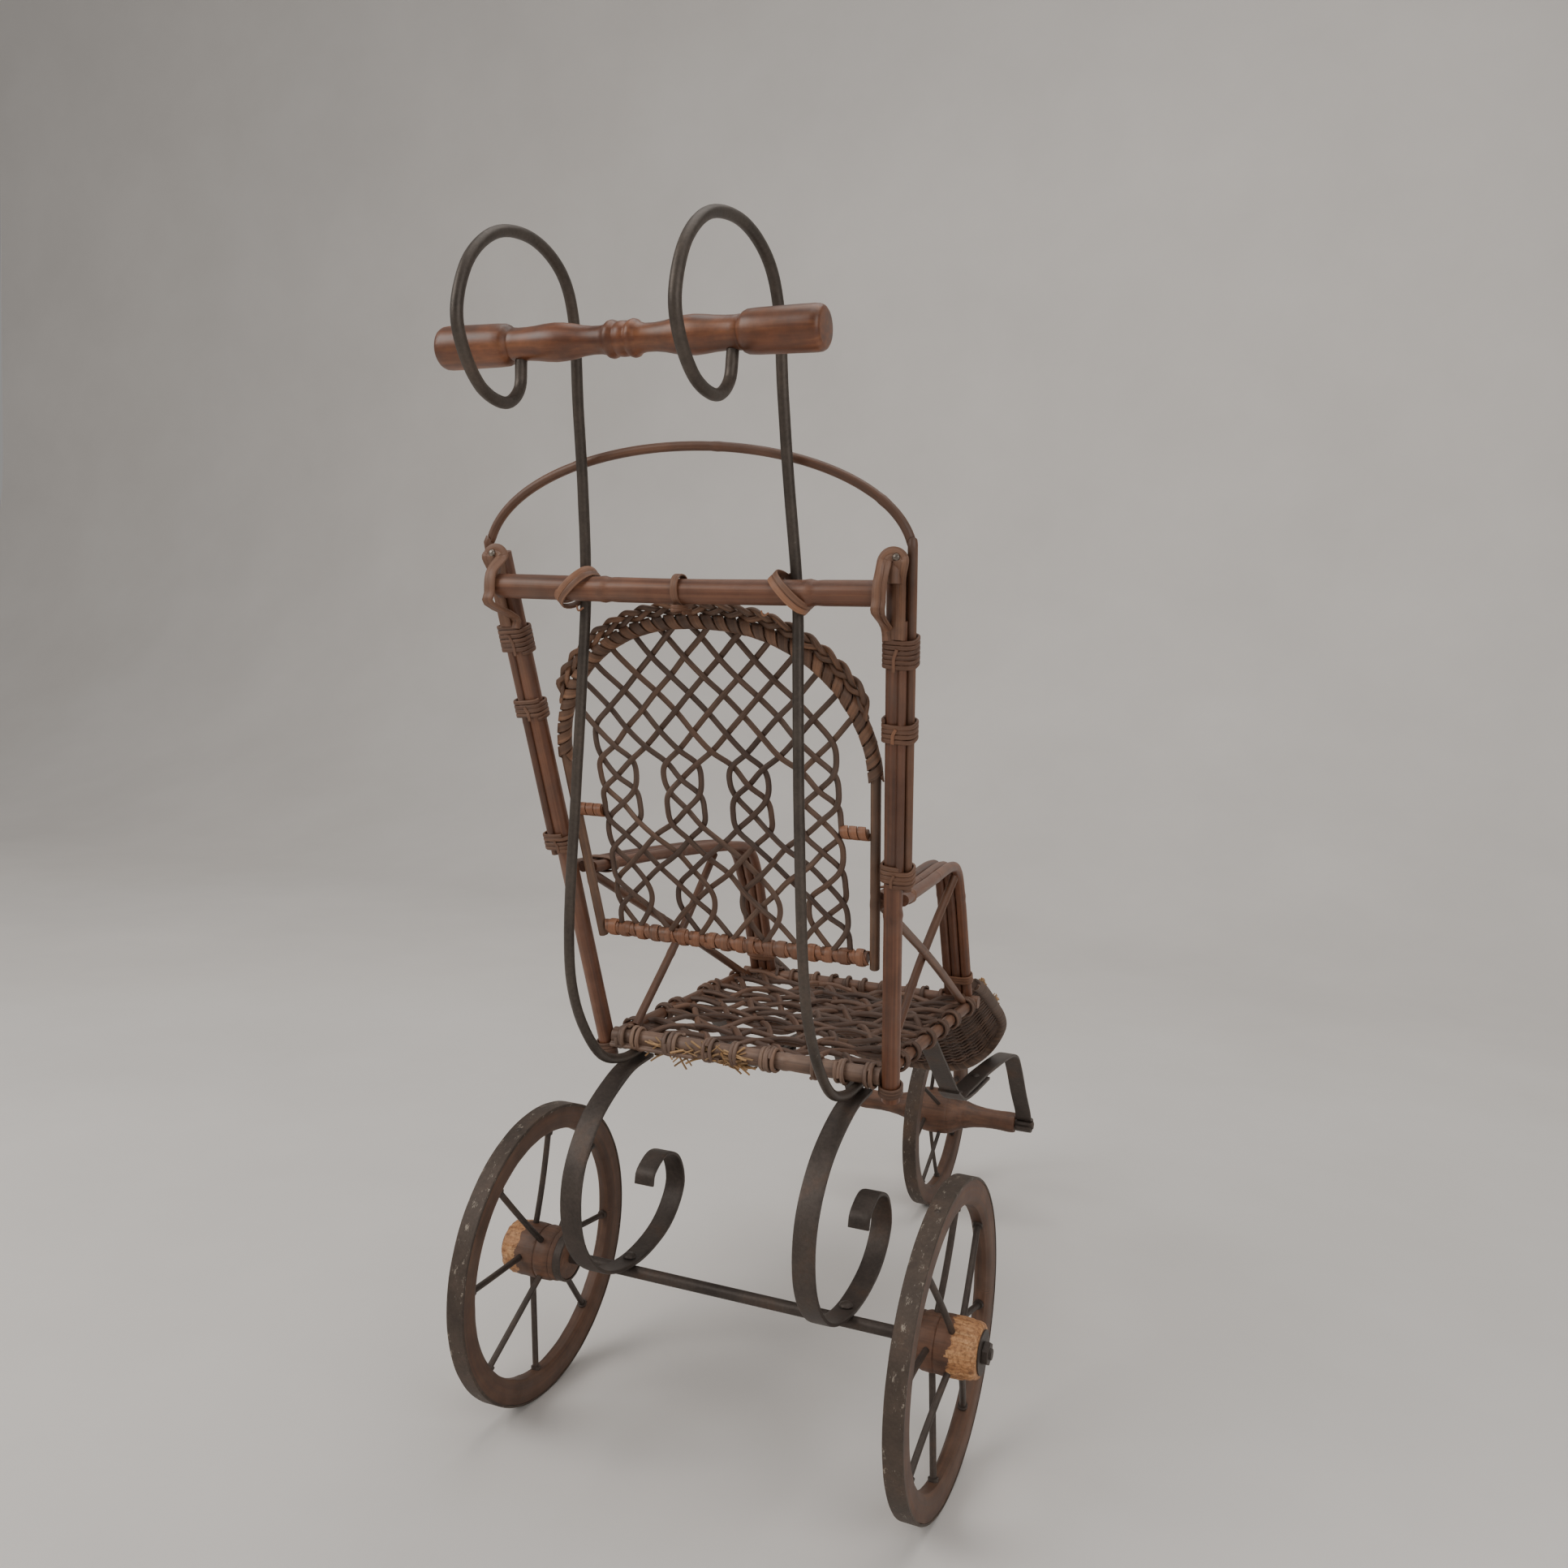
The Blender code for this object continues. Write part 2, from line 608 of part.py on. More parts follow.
def wires(item, thickness):
    strands = item.modifiers.new("strands", "WIREFRAME")
    strands.thickness = thickness
    strands.use_boundary = True
    strands.use_even_offset = False
    strands.use_relative_offset = False
    strands.use_replace = True


# ------------------------------------------------------------------ seat and arms

def build_seat():
    reach = post_x(SEAT_Z) - POST_R - 2 * GAP
    straight("seat_rear_rail", (-reach, SEAT_REAR_Y, SEAT_Z), (reach, SEAT_REAR_Y, SEAT_Z),
             REAR_RAIL_R, "bamboo", FRAME)
    reach = SIDE_RAIL_X + SIDE_RAIL_R
    straight("seat_front_rail", (-reach, SEAT_FRONT_Y, SEAT_Z), (reach, SEAT_FRONT_Y, SEAT_Z),
             FRONT_RAIL_R, "cane", FRAME)
    rear = SEAT_REAR_Y + POST_R + 4 * GAP
    front = SEAT_FRONT_Y - FRONT_RAIL_R - GAP
    for side, x in (("left", -SIDE_RAIL_X), ("right", SIDE_RAIL_X)):
        straight("seat_" + side + "_rail", (x, rear, SEAT_Z), (x, front, SEAT_Z), SIDE_RAIL_R, "cane", FRAME)

    half = SIDE_RAIL_X - SIDE_RAIL_R - 0.0036
    back = SEAT_REAR_Y + REAR_RAIL_R + 0.0036
    ahead = SEAT_FRONT_Y - FRONT_RAIL_R - 0.0036
    columns = 5
    rows = 6
    net = bmesh.new()
    grid = []
    for row in range(rows + 1):
        line = []
        for column in range(columns + 1):
            x = half * (2 * column / columns - 1)
            y = back + (ahead - back) * row / rows
            line.append(net.verts.new((x, y, SEAT_Z)))
        grid.append(line)
    for row in range(rows):
        for column in range(columns):
            net.faces.new((grid[row][column], grid[row][column + 1],
                           grid[row + 1][column + 1], grid[row + 1][column]))
    mesh = bpy.data.meshes.new("seat_weave")
    net.to_mesh(mesh)
    net.free()
    wires(add_object("seat_weave", mesh, "wicker", FRAME), 0.0040)


def build_arms():
    """Armrests of three canes side by side, bent down to the seat's front, with crossed braces."""
    cane = 0.0041
    section = []
    for index in (-1, 0, 1):
        for angle in (150, 90, 30):
            section.append((index * 2 * cane + cane * cos(radians(angle)), cane * sin(radians(angle))))
    section += [(across, -up) for across, up in reversed(section)]
    rear_z = 0.4185
    rear_y = back_y(rear_z) + ARCH_R + 4 * GAP
    route = [(0.1165, rear_y, rear_z), (0.1080, 0.0600, 0.4180), (0.0950, 0.1550, 0.4150),
             (0.0915, 0.1900, 0.4080), (0.0905, 0.2080, 0.3860), (0.0905, 0.2240, 0.3500),
             (0.0905, 0.2475, SEAT_Z + FRONT_RAIL_R + 2 * GAP + 0.0010)]
    for side, mirror in (("left", -1), ("right", 1)):
        path = smooth_path([(mirror * x, y, z) for x, y, z in route], 3)
        swept("armrest_" + side, path, section, "bamboo", FRAME)
        brace = straight("side_brace_" + side, (mirror * 0.1090, -0.0080, 0.4050),
                         (mirror * 0.1030, 0.2200, SEAT_Z + SIDE_RAIL_R + 0.0045), 0.0033, "cane", FRAME, 1)
        cross = straight("side_brace_" + side + "_cross", (mirror * 0.1045, 0.1650, 0.4060),
                         (mirror * 0.1035, 0.0350, SEAT_Z + SIDE_RAIL_R + 0.0045), 0.0033, "cane", FRAME, 1)
        join_tubes(brace, cross)


def join_tubes(target, tool):
    """Turn both curves into meshes, then unite them where the canes cross."""
    for item in (target, tool):
        shell = bpy.data.meshes.new_from_object(item.evaluated_get(bpy.context.evaluated_depsgraph_get()))
        name = item.name
        look = item.data.materials[0]
        parent = item.parent
        bpy.data.objects.remove(item, do_unlink=True)
        shell.materials.clear()
        shell.materials.append(look)
        made = bpy.data.objects.new(name, shell)
        made.parent = parent
        bpy.context.collection.objects.link(made)
        bpy.context.view_layer.update()
    unite = bpy.data.objects[name.replace("_cross", "")]
    boolean(unite, bpy.data.objects[name], "UNION")


# ------------------------------------------------------------------ footrest

def foot_z(x, t):
    """Height of the scooped footrest apron at x, where t runs from its top (0) to its lip (1)."""
    lift = 0.012 + 0.034 * sqrt(t)
    return FOOT_TOP_Z - FOOT_DROP * t + lift * (abs(x) / FOOT_HALF) ** 4


def build_footrest():
    half = FOOT_HALF - FOOT_RIM_R - 0.0015
    columns = 10
    rows = 6
    points = []
    for row in range(rows + 1):
        for column in range(columns + 1):
            x = half * (2 * column / columns - 1)
            t = (0.93 - 0.17 * (abs(x) / half) ** 6) * row / rows
            points.append((x, FOOT_TOP_Y + FOOT_RUN * t, foot_z(x, t)))
    faces = []
    wide = columns + 1
    for row in range(rows):
        for column in range(columns):
            a = row * wide + column
            faces.append((a, a + 1, a + wide + 1, a + wide))
    apron = add_mesh("footrest", points, faces, "wicker", FRAME)
    shell = apron.modifiers.new("weave", "SOLIDIFY")
    shell.thickness = 0.0036
    shell.offset = 0.0

    right = [(FOOT_HALF, t) for t in (0.03, 0.2, 0.4, 0.6, 0.8)]
    lip = [(FOOT_HALF * k, 1 + 0.03 - 0.12 * k ** 8) for k in (0.97, 0.85, 0.68, 0.5, 0.25)]
    edge = [(x, FOOT_TOP_Y + FOOT_RUN * t, foot_z(x, t)) for x, t in right + lip]
    middle = (0, FOOT_TOP_Y + FOOT_RUN * 1.03, foot_z(0, 1.03))
    other = [(-x, y, z) for x, y, z in reversed(edge)]
    tube("footrest_border", [Vector(point) for point in [*edge, middle, *other]], FOOT_RIM_R,
         "wicker", FRAME, 1)


clear_scene()
MATERIALS = make_materials()
FRAME = add_empty("stroller", (0, -CENTRE_Y, 0))
build_wheels()
build_axles()
build_rear_springs()
build_front_straps()
build_handle()
build_posts()
build_top_rail()
build_back()
build_seat()
build_arms()
build_footrest()
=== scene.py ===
"""Looks of the antique doll stroller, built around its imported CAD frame."""

import json
import random
from math import ceil, cos, exp, pi, radians, sin, sqrt

import bmesh
import bpy
from mathutils import Matrix, Vector, noise


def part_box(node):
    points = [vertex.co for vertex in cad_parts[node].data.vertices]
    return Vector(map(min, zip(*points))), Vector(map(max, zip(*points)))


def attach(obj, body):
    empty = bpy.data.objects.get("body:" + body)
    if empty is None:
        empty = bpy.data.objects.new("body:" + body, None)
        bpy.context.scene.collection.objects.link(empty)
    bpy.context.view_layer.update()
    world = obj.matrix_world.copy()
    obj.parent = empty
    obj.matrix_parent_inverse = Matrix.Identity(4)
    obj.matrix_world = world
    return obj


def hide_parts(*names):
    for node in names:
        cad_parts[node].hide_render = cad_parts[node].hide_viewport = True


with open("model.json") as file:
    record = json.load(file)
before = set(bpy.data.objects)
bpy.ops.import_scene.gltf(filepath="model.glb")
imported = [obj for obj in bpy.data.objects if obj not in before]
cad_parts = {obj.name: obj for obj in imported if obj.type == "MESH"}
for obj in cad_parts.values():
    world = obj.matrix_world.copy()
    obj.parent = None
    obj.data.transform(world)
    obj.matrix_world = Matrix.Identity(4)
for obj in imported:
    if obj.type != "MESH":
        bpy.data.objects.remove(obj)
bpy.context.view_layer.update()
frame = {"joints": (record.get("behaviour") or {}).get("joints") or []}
JOINTS = {joint["name"]: joint for joint in frame["joints"]}
RNG = random.Random(7)
SIDES = (("left", -1), ("right", 1))

# ---- places read from the frame


def middle(node):
    low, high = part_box(node)
    return (low + high) / 2


def size(node):
    low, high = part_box(node)
    return high - low


AXLE = Vector(JOINTS["rear_left_spin"]["pos_m"])
FRONT_AXLE = Vector(JOINTS["front_spin"]["pos_m"])
POST_R = 0.0063
HOOP_R = 0.0030
HOOP_FOOT_Z = 0.4280
ARCH_FOOT_Z = 0.3690
ARCH_R = 0.0045
LEG_ROOM = 0.0030              # between a post and the arch leg beside it
POST_LOW, POST_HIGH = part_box("post_right")
POST_FOOT = Vector((POST_LOW.x + POST_R, POST_HIGH.y - POST_R, POST_LOW.z))
POST_TOP = Vector((POST_HIGH.x - POST_R, POST_LOW.y + POST_R, POST_HIGH.z))
POST_AXIS = (POST_TOP - POST_FOOT).normalized()
ARCH_TOP_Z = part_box("back_arch")[1].z - ARCH_R
ARCH_SPRING_Z = ARCH_TOP_Z - 0.0945
LOWER_RAIL = middle("back_lower_rail")
SEAT_REAR = middle("seat_rear_rail")
SEAT_FRONT = middle("seat_front_rail")
SEAT_SIDE_X = middle("seat_right_rail").x
TOP_RAIL = middle("top_rail")
TOP_RAIL_R = size("top_rail").z / 2
GRIP = middle("grip")


def post_at(z):
    return POST_FOOT + (POST_TOP - POST_FOOT) * ((z - POST_FOOT.z) / (POST_TOP.z - POST_FOOT.z))


def at(x, y, z):
    """A place given by its distance in front of the rear axle."""
    return Vector((x, AXLE.y + y, z))


def flip(point, mirror):
    return Vector((point.x * mirror, point.y, point.z))


def across_box(node, sag=0.0):
    """Three points along a node's box from left to right, the middle one lower by sag."""
    low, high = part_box(node)
    centre = (low + high) / 2
    return [Vector((low.x, centre.y, centre.z)), centre - Vector((0, 0, sag)),
            Vector((high.x, centre.y, centre.z))]


def panel(x, z, lift=0.0):
    """A point on the back panel; lift is towards the sitter."""
    slope = (POST_TOP.y - POST_FOOT.y) / (POST_TOP.z - POST_FOOT.z)
    y = LOWER_RAIL.y + (z - LOWER_RAIL.z) * slope
    return Vector((x, y, z)) + PANEL_NORMAL * lift


PANEL_NORMAL = Vector((0, 1, (POST_FOOT.y - POST_TOP.y) / (POST_TOP.z - POST_FOOT.z))).normalized()


# ---- mesh helpers

def smooth_path(points, steps=4):
    """Catmull-Rom curve through the points."""
    knots = [Vector(point) for point in points]
    knots = [2 * knots[0] - knots[1], *knots, 2 * knots[-1] - knots[-2]]
    path = []
    for a, b, c, d in zip(knots, knots[1:], knots[2:], knots[3:]):
        for step in range(steps):
            t = step / steps
            path.append(0.5 * (2 * b + (c - a) * t + (2 * a - 5 * b + 4 * c - d) * t ** 2
                               + (3 * b - a - 3 * c + d) * t ** 3))
    path.append(knots[-2])
    return path


def tangents(path):
    found = []
    for index in range(len(path)):
        step = path[min(index + 1, len(path) - 1)] - path[max(index - 1, 0)]
        found.append(step.normalized() if step.length > 1e-9 else Vector((0, 0, 1)))
    return found


def carried_normals(path):
    """Normals carried along the path with as little turning as possible."""
    along = tangents(path)
    start = Vector((0, 0, 1)) if abs(along[0].z) < 0.8 else Vector((1, 0, 0))
    normal = (start - along[0] * start.dot(along[0])).normalized()
    found = [normal]
    for tangent in along[1:]:
        normal = (normal - tangent * normal.dot(tangent)).normalized()
        found.append(normal)
    return found


def bent(value, power):
    return abs(value) ** power * (1 if value > 0 else -1)


def evenly(path, step):
    """The same path with a point about every step metres."""
    reach = [0.0]
    for a, b in zip(path, path[1:]):
        reach.append(reach[-1] + (b - a).length)
    count = max(2, ceil(reach[-1] / step))
    points = []
    leg = 0
    for index in range(count + 1):
        goal = reach[-1] * index / count
        while leg < len(path) - 2 and reach[leg + 1] < goal:
            leg += 1
        span = max(reach[leg + 1] - reach[leg], 1e-9)
        points.append(path[leg].lerp(path[leg + 1], (goal - reach[leg]) / span))
    return points


def smooth_noise(x, y, z):
    return noise.noise(Vector((x, y, z)))


class Strands:
    """Many tubes or flat strips gathered into one mesh, with a grain coordinate and a tone each."""

    def __init__(self):
        self.points = []
        self.faces = []
        self.grain = []
        self.tones = []

    def add(self, path, width, thick=None, normals=None, sides=8, tone=None, shape=None, square=1.0):
        """shape(share of the length, angle) scales the section; a low square flattens its sides."""
        thick = thick or width
        tone = RNG.random() if tone is None else tone
        along = tangents(path)
        normals = normals or carried_normals(path)
        base = len(self.points)
        shift = RNG.random() * 3.0
        length = 0.0
        total = sum((b - a).length for a, b in zip(path, path[1:])) or 1.0
        for index, place in enumerate(path):
            if index:
                length += (place - path[index - 1]).length
            tangent = along[index]
            normal = (normals[index] - tangent * normals[index].dot(tangent)).normalized()
            side = tangent.cross(normal)
            for k in range(sides):
                angle = 2 * pi * (k + 0.5) / sides
                scale = shape(length / total, angle) if shape else 1.0
                a = bent(cos(angle), square) * width / 2 * scale
                b = bent(sin(angle), square) * thick / 2 * scale
                self.points.append(place + side * a + normal * b)
                self.grain.append((length + shift, a + shift, b))
                self.tones.append(tone)
        for ring in range(len(path) - 1):
            for k in range(sides):
                a = base + ring * sides + k
                b = base + ring * sides + (k + 1) % sides
                self.faces.append((a, b, b + sides, a + sides))
        self.faces.append(tuple(base + k for k in reversed(range(sides))))
        last = base + (len(path) - 1) * sides
        self.faces.append(tuple(last + k for k in range(sides)))

    def build(self, name, material, body="root", replaces=(), sharp=60):
        return finish_mesh(name, self.points, self.faces, self.grain, self.tones, material,
                           body, replaces, sharp)


def finish_mesh(name, points, faces, grain, tones, material, body, replaces, sharp=60):
    mesh = bpy.data.meshes.new(name)
    mesh.from_pydata([tuple(point) for point in points], [], faces)
    mesh.attributes.new("grain", "FLOAT_VECTOR", "POINT").data.foreach_set(
        "vector", [value for item in grain for value in item])
    mesh.attributes.new("tone", "FLOAT", "POINT").data.foreach_set("value", tones)
    shell = bmesh.new()
    shell.from_mesh(mesh)
    bmesh.ops.recalc_face_normals(shell, faces=shell.faces)
    shell.to_mesh(mesh)
    shell.free()
    mesh.shade_smooth()
    mesh.set_sharp_from_angle(angle=radians(sharp))
    mesh.materials.append(material)
    item = bpy.data.objects.new(name, mesh)
    bpy.context.scene.collection.objects.link(item)
    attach(item, body)
    if replaces:
        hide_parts(*replaces)
    return item


def turned(name, profile, centre, material, body, replaces, sides=96, ring=False, hooped=False,
           dent=None, raw=None, sharp=35):
    """Turn (x, radius) points about the X axis through centre; the grain runs round if hooped."""
    points = []
    grain = []
    tones = []
    for x, radius in profile:
        for k in range(sides):
            angle = 2 * pi * k / sides
            spread = radius - (dent(x, angle) if dent else 0.0)
            points.append(centre + Vector((x, spread * cos(angle), spread * sin(angle))))
            if hooped:
                grain.append((radius * angle, x, radius))
            else:
                grain.append((x, radius * cos(angle), radius * sin(angle)))
            tones.append(raw(x) if raw else 0.5)
    rows = len(profile)
    faces = []
    for row in range(rows if ring else rows - 1):
        for k in range(sides):
            a = row * sides + k
            b = row * sides + (k + 1) % sides
            c = (row + 1) % rows * sides
            faces.append((a, b, c + (k + 1) % sides, c + k))
    if not ring:
        faces.append(tuple(range(sides)))
        faces.append(tuple(range(len(points) - sides, len(points))))
    return finish_mesh(name, points, faces, grain, tones, material, body, replaces, sharp)


def jointed(length, joints, seed=0.0, swell=0.08):
    """Section scale of a cane: gentle grooves, and a ring with a waist beside it at each joint."""
    def shape(share, angle):
        round_it = Vector((share * 3.0 + seed, cos(angle) * 2.4, sin(angle) * 2.4))
        scale = 1.0 + 0.035 * noise.noise(round_it)
        for joint in joints:
            gap = (share - joint) * length
            scale += swell * exp(-(gap / 0.0022) ** 2) - swell * 0.5 * exp(-((gap - 0.005) / 0.002) ** 2)
        return scale
    return shape


def cane(strands, path, radius, joints=(), tone=None, sides=18, step=0.0022):
    fine = evenly(path, step)
    length = sum((b - a).length for a, b in zip(fine, fine[1:]))
    strands.add(fine, radius * 2, sides=sides, tone=tone, shape=jointed(length, joints, RNG.random() * 50))


def wound(strands, path, radius, pitch, width, thick=0.0012, starts=1, tones=(None,), steps=14):
    """Split cane wound round a path, as one or more flat spirals; radius may depend on the share."""
    fine = evenly(path, pitch / steps)
    along = tangents(fine)
    normals = carried_normals(fine)
    for start in range(starts):
        points = []
        outs = []
        for index, place in enumerate(fine):
            turn = 2 * pi * (index / steps + start / starts)
            out = normals[index] * cos(turn) + along[index].cross(normals[index]) * sin(turn)
            reach = radius(index / len(fine)) if callable(radius) else radius
            points.append(place + out * reach)
            outs.append(out)
        strands.add(points, width, thick, outs, 6, tones[start % len(tones)], square=0.5)


def loops(strands, centre, axis, across, deep, turns, spread, width, thick=0.0012, tone=None, square=0.7,
          flat=0.5):
    """Turns of split cane side by side round a bundle whose half sizes are across and deep."""
    steps = 26
    points = []
    outs = []
    phase = RNG.random() * 2 * pi
    for index in range(int(turns * steps) + 3):
        turn = 2 * pi * index / steps + phase
        share = index / (turns * steps)
        c = bent(cos(turn), square)
        s = bent(sin(turn), square)
        drift = 0.0004 * smooth_noise(index * 0.21, phase, 0.0)
        points.append(centre + axis * (spread * (share - 0.5) + drift) + across * c + deep * s)
        outs.append((across.normalized() * c + deep.normalized() * s).normalized())
    strands.add(points, width, thick, outs, 8, tone, square=flat)


# ---- materials

class Nodes:
    """Short names for building one material."""

    def __init__(self, name):
        self.material = bpy.data.materials.new(name)
        self.material.use_nodes = True
        self.tree = self.material.node_tree
        self.shader = self.tree.nodes["Principled BSDF"]

    def add(self, kind, **values):
        node = self.tree.nodes.new(kind)
        for key, value in values.items():
            if hasattr(node, key):
                setattr(node, key, value)
            else:
                node.inputs[key.replace("_", " ")].default_value = value
        return node

    def link(self, source, target):
        self.tree.links.new(source, target)

    def attribute(self, name):
        return self.add("ShaderNodeAttribute", attribute_name=name)

    def mapped(self, source, scale):
        node = self.add("ShaderNodeMapping")
        node.inputs["Scale"].default_value = scale
        self.link(source, node.inputs["Vector"])
        return node.outputs["Vector"]

    def noise(self, vector, scale=1.0, detail=4.0, roughness=0.55):
        node = self.add("ShaderNodeTexNoise")
        node.inputs["Scale"].default_value = scale
        node.inputs["Detail"].default_value = detail
        node.inputs["Roughness"].default_value = roughness
        self.link(vector, node.inputs["Vector"])
        return node.outputs["Fac"]

    def ramp(self, source, stops):
        node = self.add("ShaderNodeValToRGB")
        elements = node.color_ramp.elements
        while len(elements) < len(stops):
            elements.new(0.5)
        for element, (place, colour) in zip(elements, stops):
            element.position = place
            element.color = (*colour, 1.0) if len(colour) == 3 else colour
        self.link(source, node.inputs["Fac"])
        return node.outputs["Color"]

    def feed(self, socket, value):
        """Set a socket to a number or a colour, or link it to another node's output."""
        if isinstance(value, (int, float)):
            socket.default_value = value
        elif isinstance(value, tuple):
            socket.default_value = (*value, 1.0)
        else:
            self.link(value, socket)

    def mask(self, source, low, high):
        return self.ramp(source, [(low, (0, 0, 0)), (high, (1, 1, 1))])

    def mix(self, factor, first, second, blend="MIX"):
        node = self.add("ShaderNodeMix", data_type="RGBA", blend_type=blend)
        for index, value in ((0, factor), (6, first), (7, second)):
            self.feed(node.inputs[index], value)
        return node.outputs[2]

    def math(self, operation, first, second):
        node = self.add("ShaderNodeMath", operation=operation)
        self.feed(node.inputs[0], first)
        self.feed(node.inputs[1], second)
        return node.outputs[0]

    def times(self, first, second):
        return self.math("MULTIPLY", first, second)

    def plus(self, first, second):
        return self.math("ADD", first, second)

    def spread(self, source, low, high):
        """The source's 0 to 1 carried over to low to high."""
        node = self.add("ShaderNodeMapRange")
        node.inputs["To Min"].default_value = low
        node.inputs["To Max"].default_value = high
        self.link(source, node.inputs["Value"])
        return node.outputs["Result"]

    def bump(self, height, strength, distance):
        node = self.add("ShaderNodeBump")
        node.inputs["Strength"].default_value = strength
        node.inputs["Distance"].default_value = distance
        self.link(height, node.inputs["Height"])
        self.link(node.outputs["Normal"], self.shader.inputs["Normal"])

    def finish(self, colour, roughness, metallic=0.0, coat=0.0):
        self.feed(self.shader.inputs["Base Color"], colour)
        self.feed(self.shader.inputs["Roughness"], roughness)
        self.feed(self.shader.inputs["Metallic"], metallic)
        self.shader.inputs["Coat Weight"].default_value = coat
        self.shader.inputs["Coat Roughness"].default_value = 0.35
        return self.material


def grained(name, dark, base, light, fibre=(14, 520, 520), rough=(0.42, 0.68), bump=0.35, coat=0.0,
            blotch=0.5, dust=(0.20, 0.16, 0.13), dust_amount=0.25, raw=None):
    """Wood, bamboo or cane: fibres along the grain, blotches, a tone for each strand and dust."""
    m = Nodes(name)
    grain = m.attribute("grain").outputs["Vector"]
    tone = m.attribute("tone").outputs["Fac"]
    place = m.add("ShaderNodeTexCoord").outputs["Object"]
    fibres = m.noise(m.mapped(grain, fibre), 1.0, 5.0, 0.6)
    streaks = m.noise(m.mapped(grain, tuple(value * 0.23 for value in fibre)), 1.0, 3.0)
    patches = m.noise(place, 45.0, 4.0, 0.6)
    colour = m.ramp(m.plus(m.times(fibres, 0.55), m.times(streaks, 0.45)),
                    [(0.30, dark), (0.50, base), (0.72, light)])
    if not raw:
        toned = m.ramp(tone, [(0.0, (0.72, 0.70, 0.70)), (0.5, (1.0, 1.0, 1.0)), (1.0, (1.30, 1.22, 1.12))])
        colour = m.mix(1.0, colour, toned, "MULTIPLY")
    shade = m.ramp(patches, [(0.35, (0.62, 0.60, 0.60)), (0.62, (1.12, 1.1, 1.08))])
    colour = m.mix(blotch, colour, shade, "MULTIPLY")
    specks = m.plus(m.times(m.noise(place, 900.0, 2.0), 0.5), 0.6)
    grime = m.times(m.mask(m.noise(place, 18.0, 6.0, 0.7), 0.45, 0.75), specks)
    colour = m.mix(m.times(grime, dust_amount), colour, dust)
    height = m.plus(fibres, m.times(streaks, 0.7))
    if raw:
        ragged = m.math("SUBTRACT", m.noise(place, 170.0, 5.0), 0.5)
        bare = m.mask(m.plus(tone, m.times(ragged, 0.9)), 0.50, 0.56)
        torn = m.noise(place, 420.0, 4.0, 0.7)
        flesh = m.ramp(fibres, [(0.3, raw[0]), (0.5, raw[1]), (0.7, raw[2])])
        pits = m.ramp(torn, [(0.36, (0.35, 0.28, 0.24)), (0.55, (1.1, 1.08, 1.05))])
        colour = m.mix(bare, colour, m.mix(0.75, flesh, pits, "MULTIPLY"))
        height = m.plus(m.plus(height, m.times(torn, bare)), m.times(bare, -1.2))
    m.bump(height, bump, 0.0006)
    return m.finish(colour, m.spread(fibres, *rough), 0.0, coat)


def iron(name, dark, base, rust, bright, bright_amount=0.35, rough=(0.38, 0.66), metallic=0.45,
         scratched=0.0):
    """Old wrought iron: brown-black skin, rust blooms, rubbed bright specks and fine pitting."""
    m = Nodes(name)
    place = m.add("ShaderNodeTexCoord").outputs["Object"]
    broad = m.noise(place, 26.0, 6.0, 0.65)
    fine = m.noise(place, 420.0, 5.0, 0.7)
    rubbed = m.noise(m.mapped(place, (160, 160, 60)), 1.0, 6.0, 0.75)
    colour = m.ramp(broad, [(0.32, dark), (0.55, base), (0.75, rust)])
    pitted = m.ramp(fine, [(0.3, (0.55, 0.52, 0.50)), (0.7, (1.25, 1.2, 1.15))])
    colour = m.mix(0.5, colour, pitted, "MULTIPLY")
    colour = m.mix(m.times(m.mask(rubbed, 0.66, 0.74), bright_amount), colour, bright)
    if scratched:
        grain = m.attribute("grain").outputs["Vector"]
        nicks = m.mask(m.noise(m.mapped(grain, (130, 260, 260)), 1.0, 6.0, 0.8), 0.59, 0.64)
        colour = m.mix(m.times(nicks, scratched), colour, (0.36, 0.31, 0.25))
    m.bump(m.plus(fine, m.times(broad, 0.6)), 0.35, 0.0005)
    return m.finish(colour, m.spread(broad, *rough), metallic)


IRON = iron("old_iron", (0.046, 0.037, 0.032), (0.078, 0.062, 0.053), (0.112, 0.072, 0.052),
            (0.32, 0.28, 0.24))
TYRE_IRON = iron("tyre_iron", (0.050, 0.037, 0.029), (0.085, 0.062, 0.048), (0.125, 0.078, 0.052),
                 (0.34, 0.29, 0.24), 0.5, (0.46, 0.74), 0.3, 0.75)
NAIL_IRON = iron("bright_nail", (0.12, 0.10, 0.085), (0.26, 0.23, 0.20), (0.34, 0.29, 0.24),
                 (0.62, 0.57, 0.50), 0.6, (0.25, 0.45), 0.8)
BAMBOO = grained("varnished_bamboo", (0.052, 0.020, 0.011), (0.130, 0.050, 0.025), (0.225, 0.100, 0.052),
                 (7, 480, 480), (0.36, 0.60), 0.45, 0.12, 0.65)
CANE = grained("thin_cane", (0.060, 0.025, 0.014), (0.140, 0.062, 0.033), (0.235, 0.115, 0.062),
               (10, 520, 520), (0.38, 0.62), 0.35, 0.08)
BINDING = grained("split_cane_binding", (0.080, 0.036, 0.021), (0.175, 0.084, 0.048), (0.300, 0.158, 0.092),
                  (12, 700, 700), (0.42, 0.66), 0.4, 0.0)
FLAT_CANE = grained("flat_tan_cane", (0.090, 0.037, 0.018), (0.195, 0.080, 0.038), (0.290, 0.130, 0.066),
                    (12, 700, 700), (0.40, 0.62), 0.35, 0.05)
RAIL_CANE = grained("weathered_rail", (0.075, 0.043, 0.030), (0.170, 0.104, 0.074), (0.270, 0.182, 0.130),
                    (7, 420, 420), (0.42, 0.66), 0.4, 0.05, 0.7)
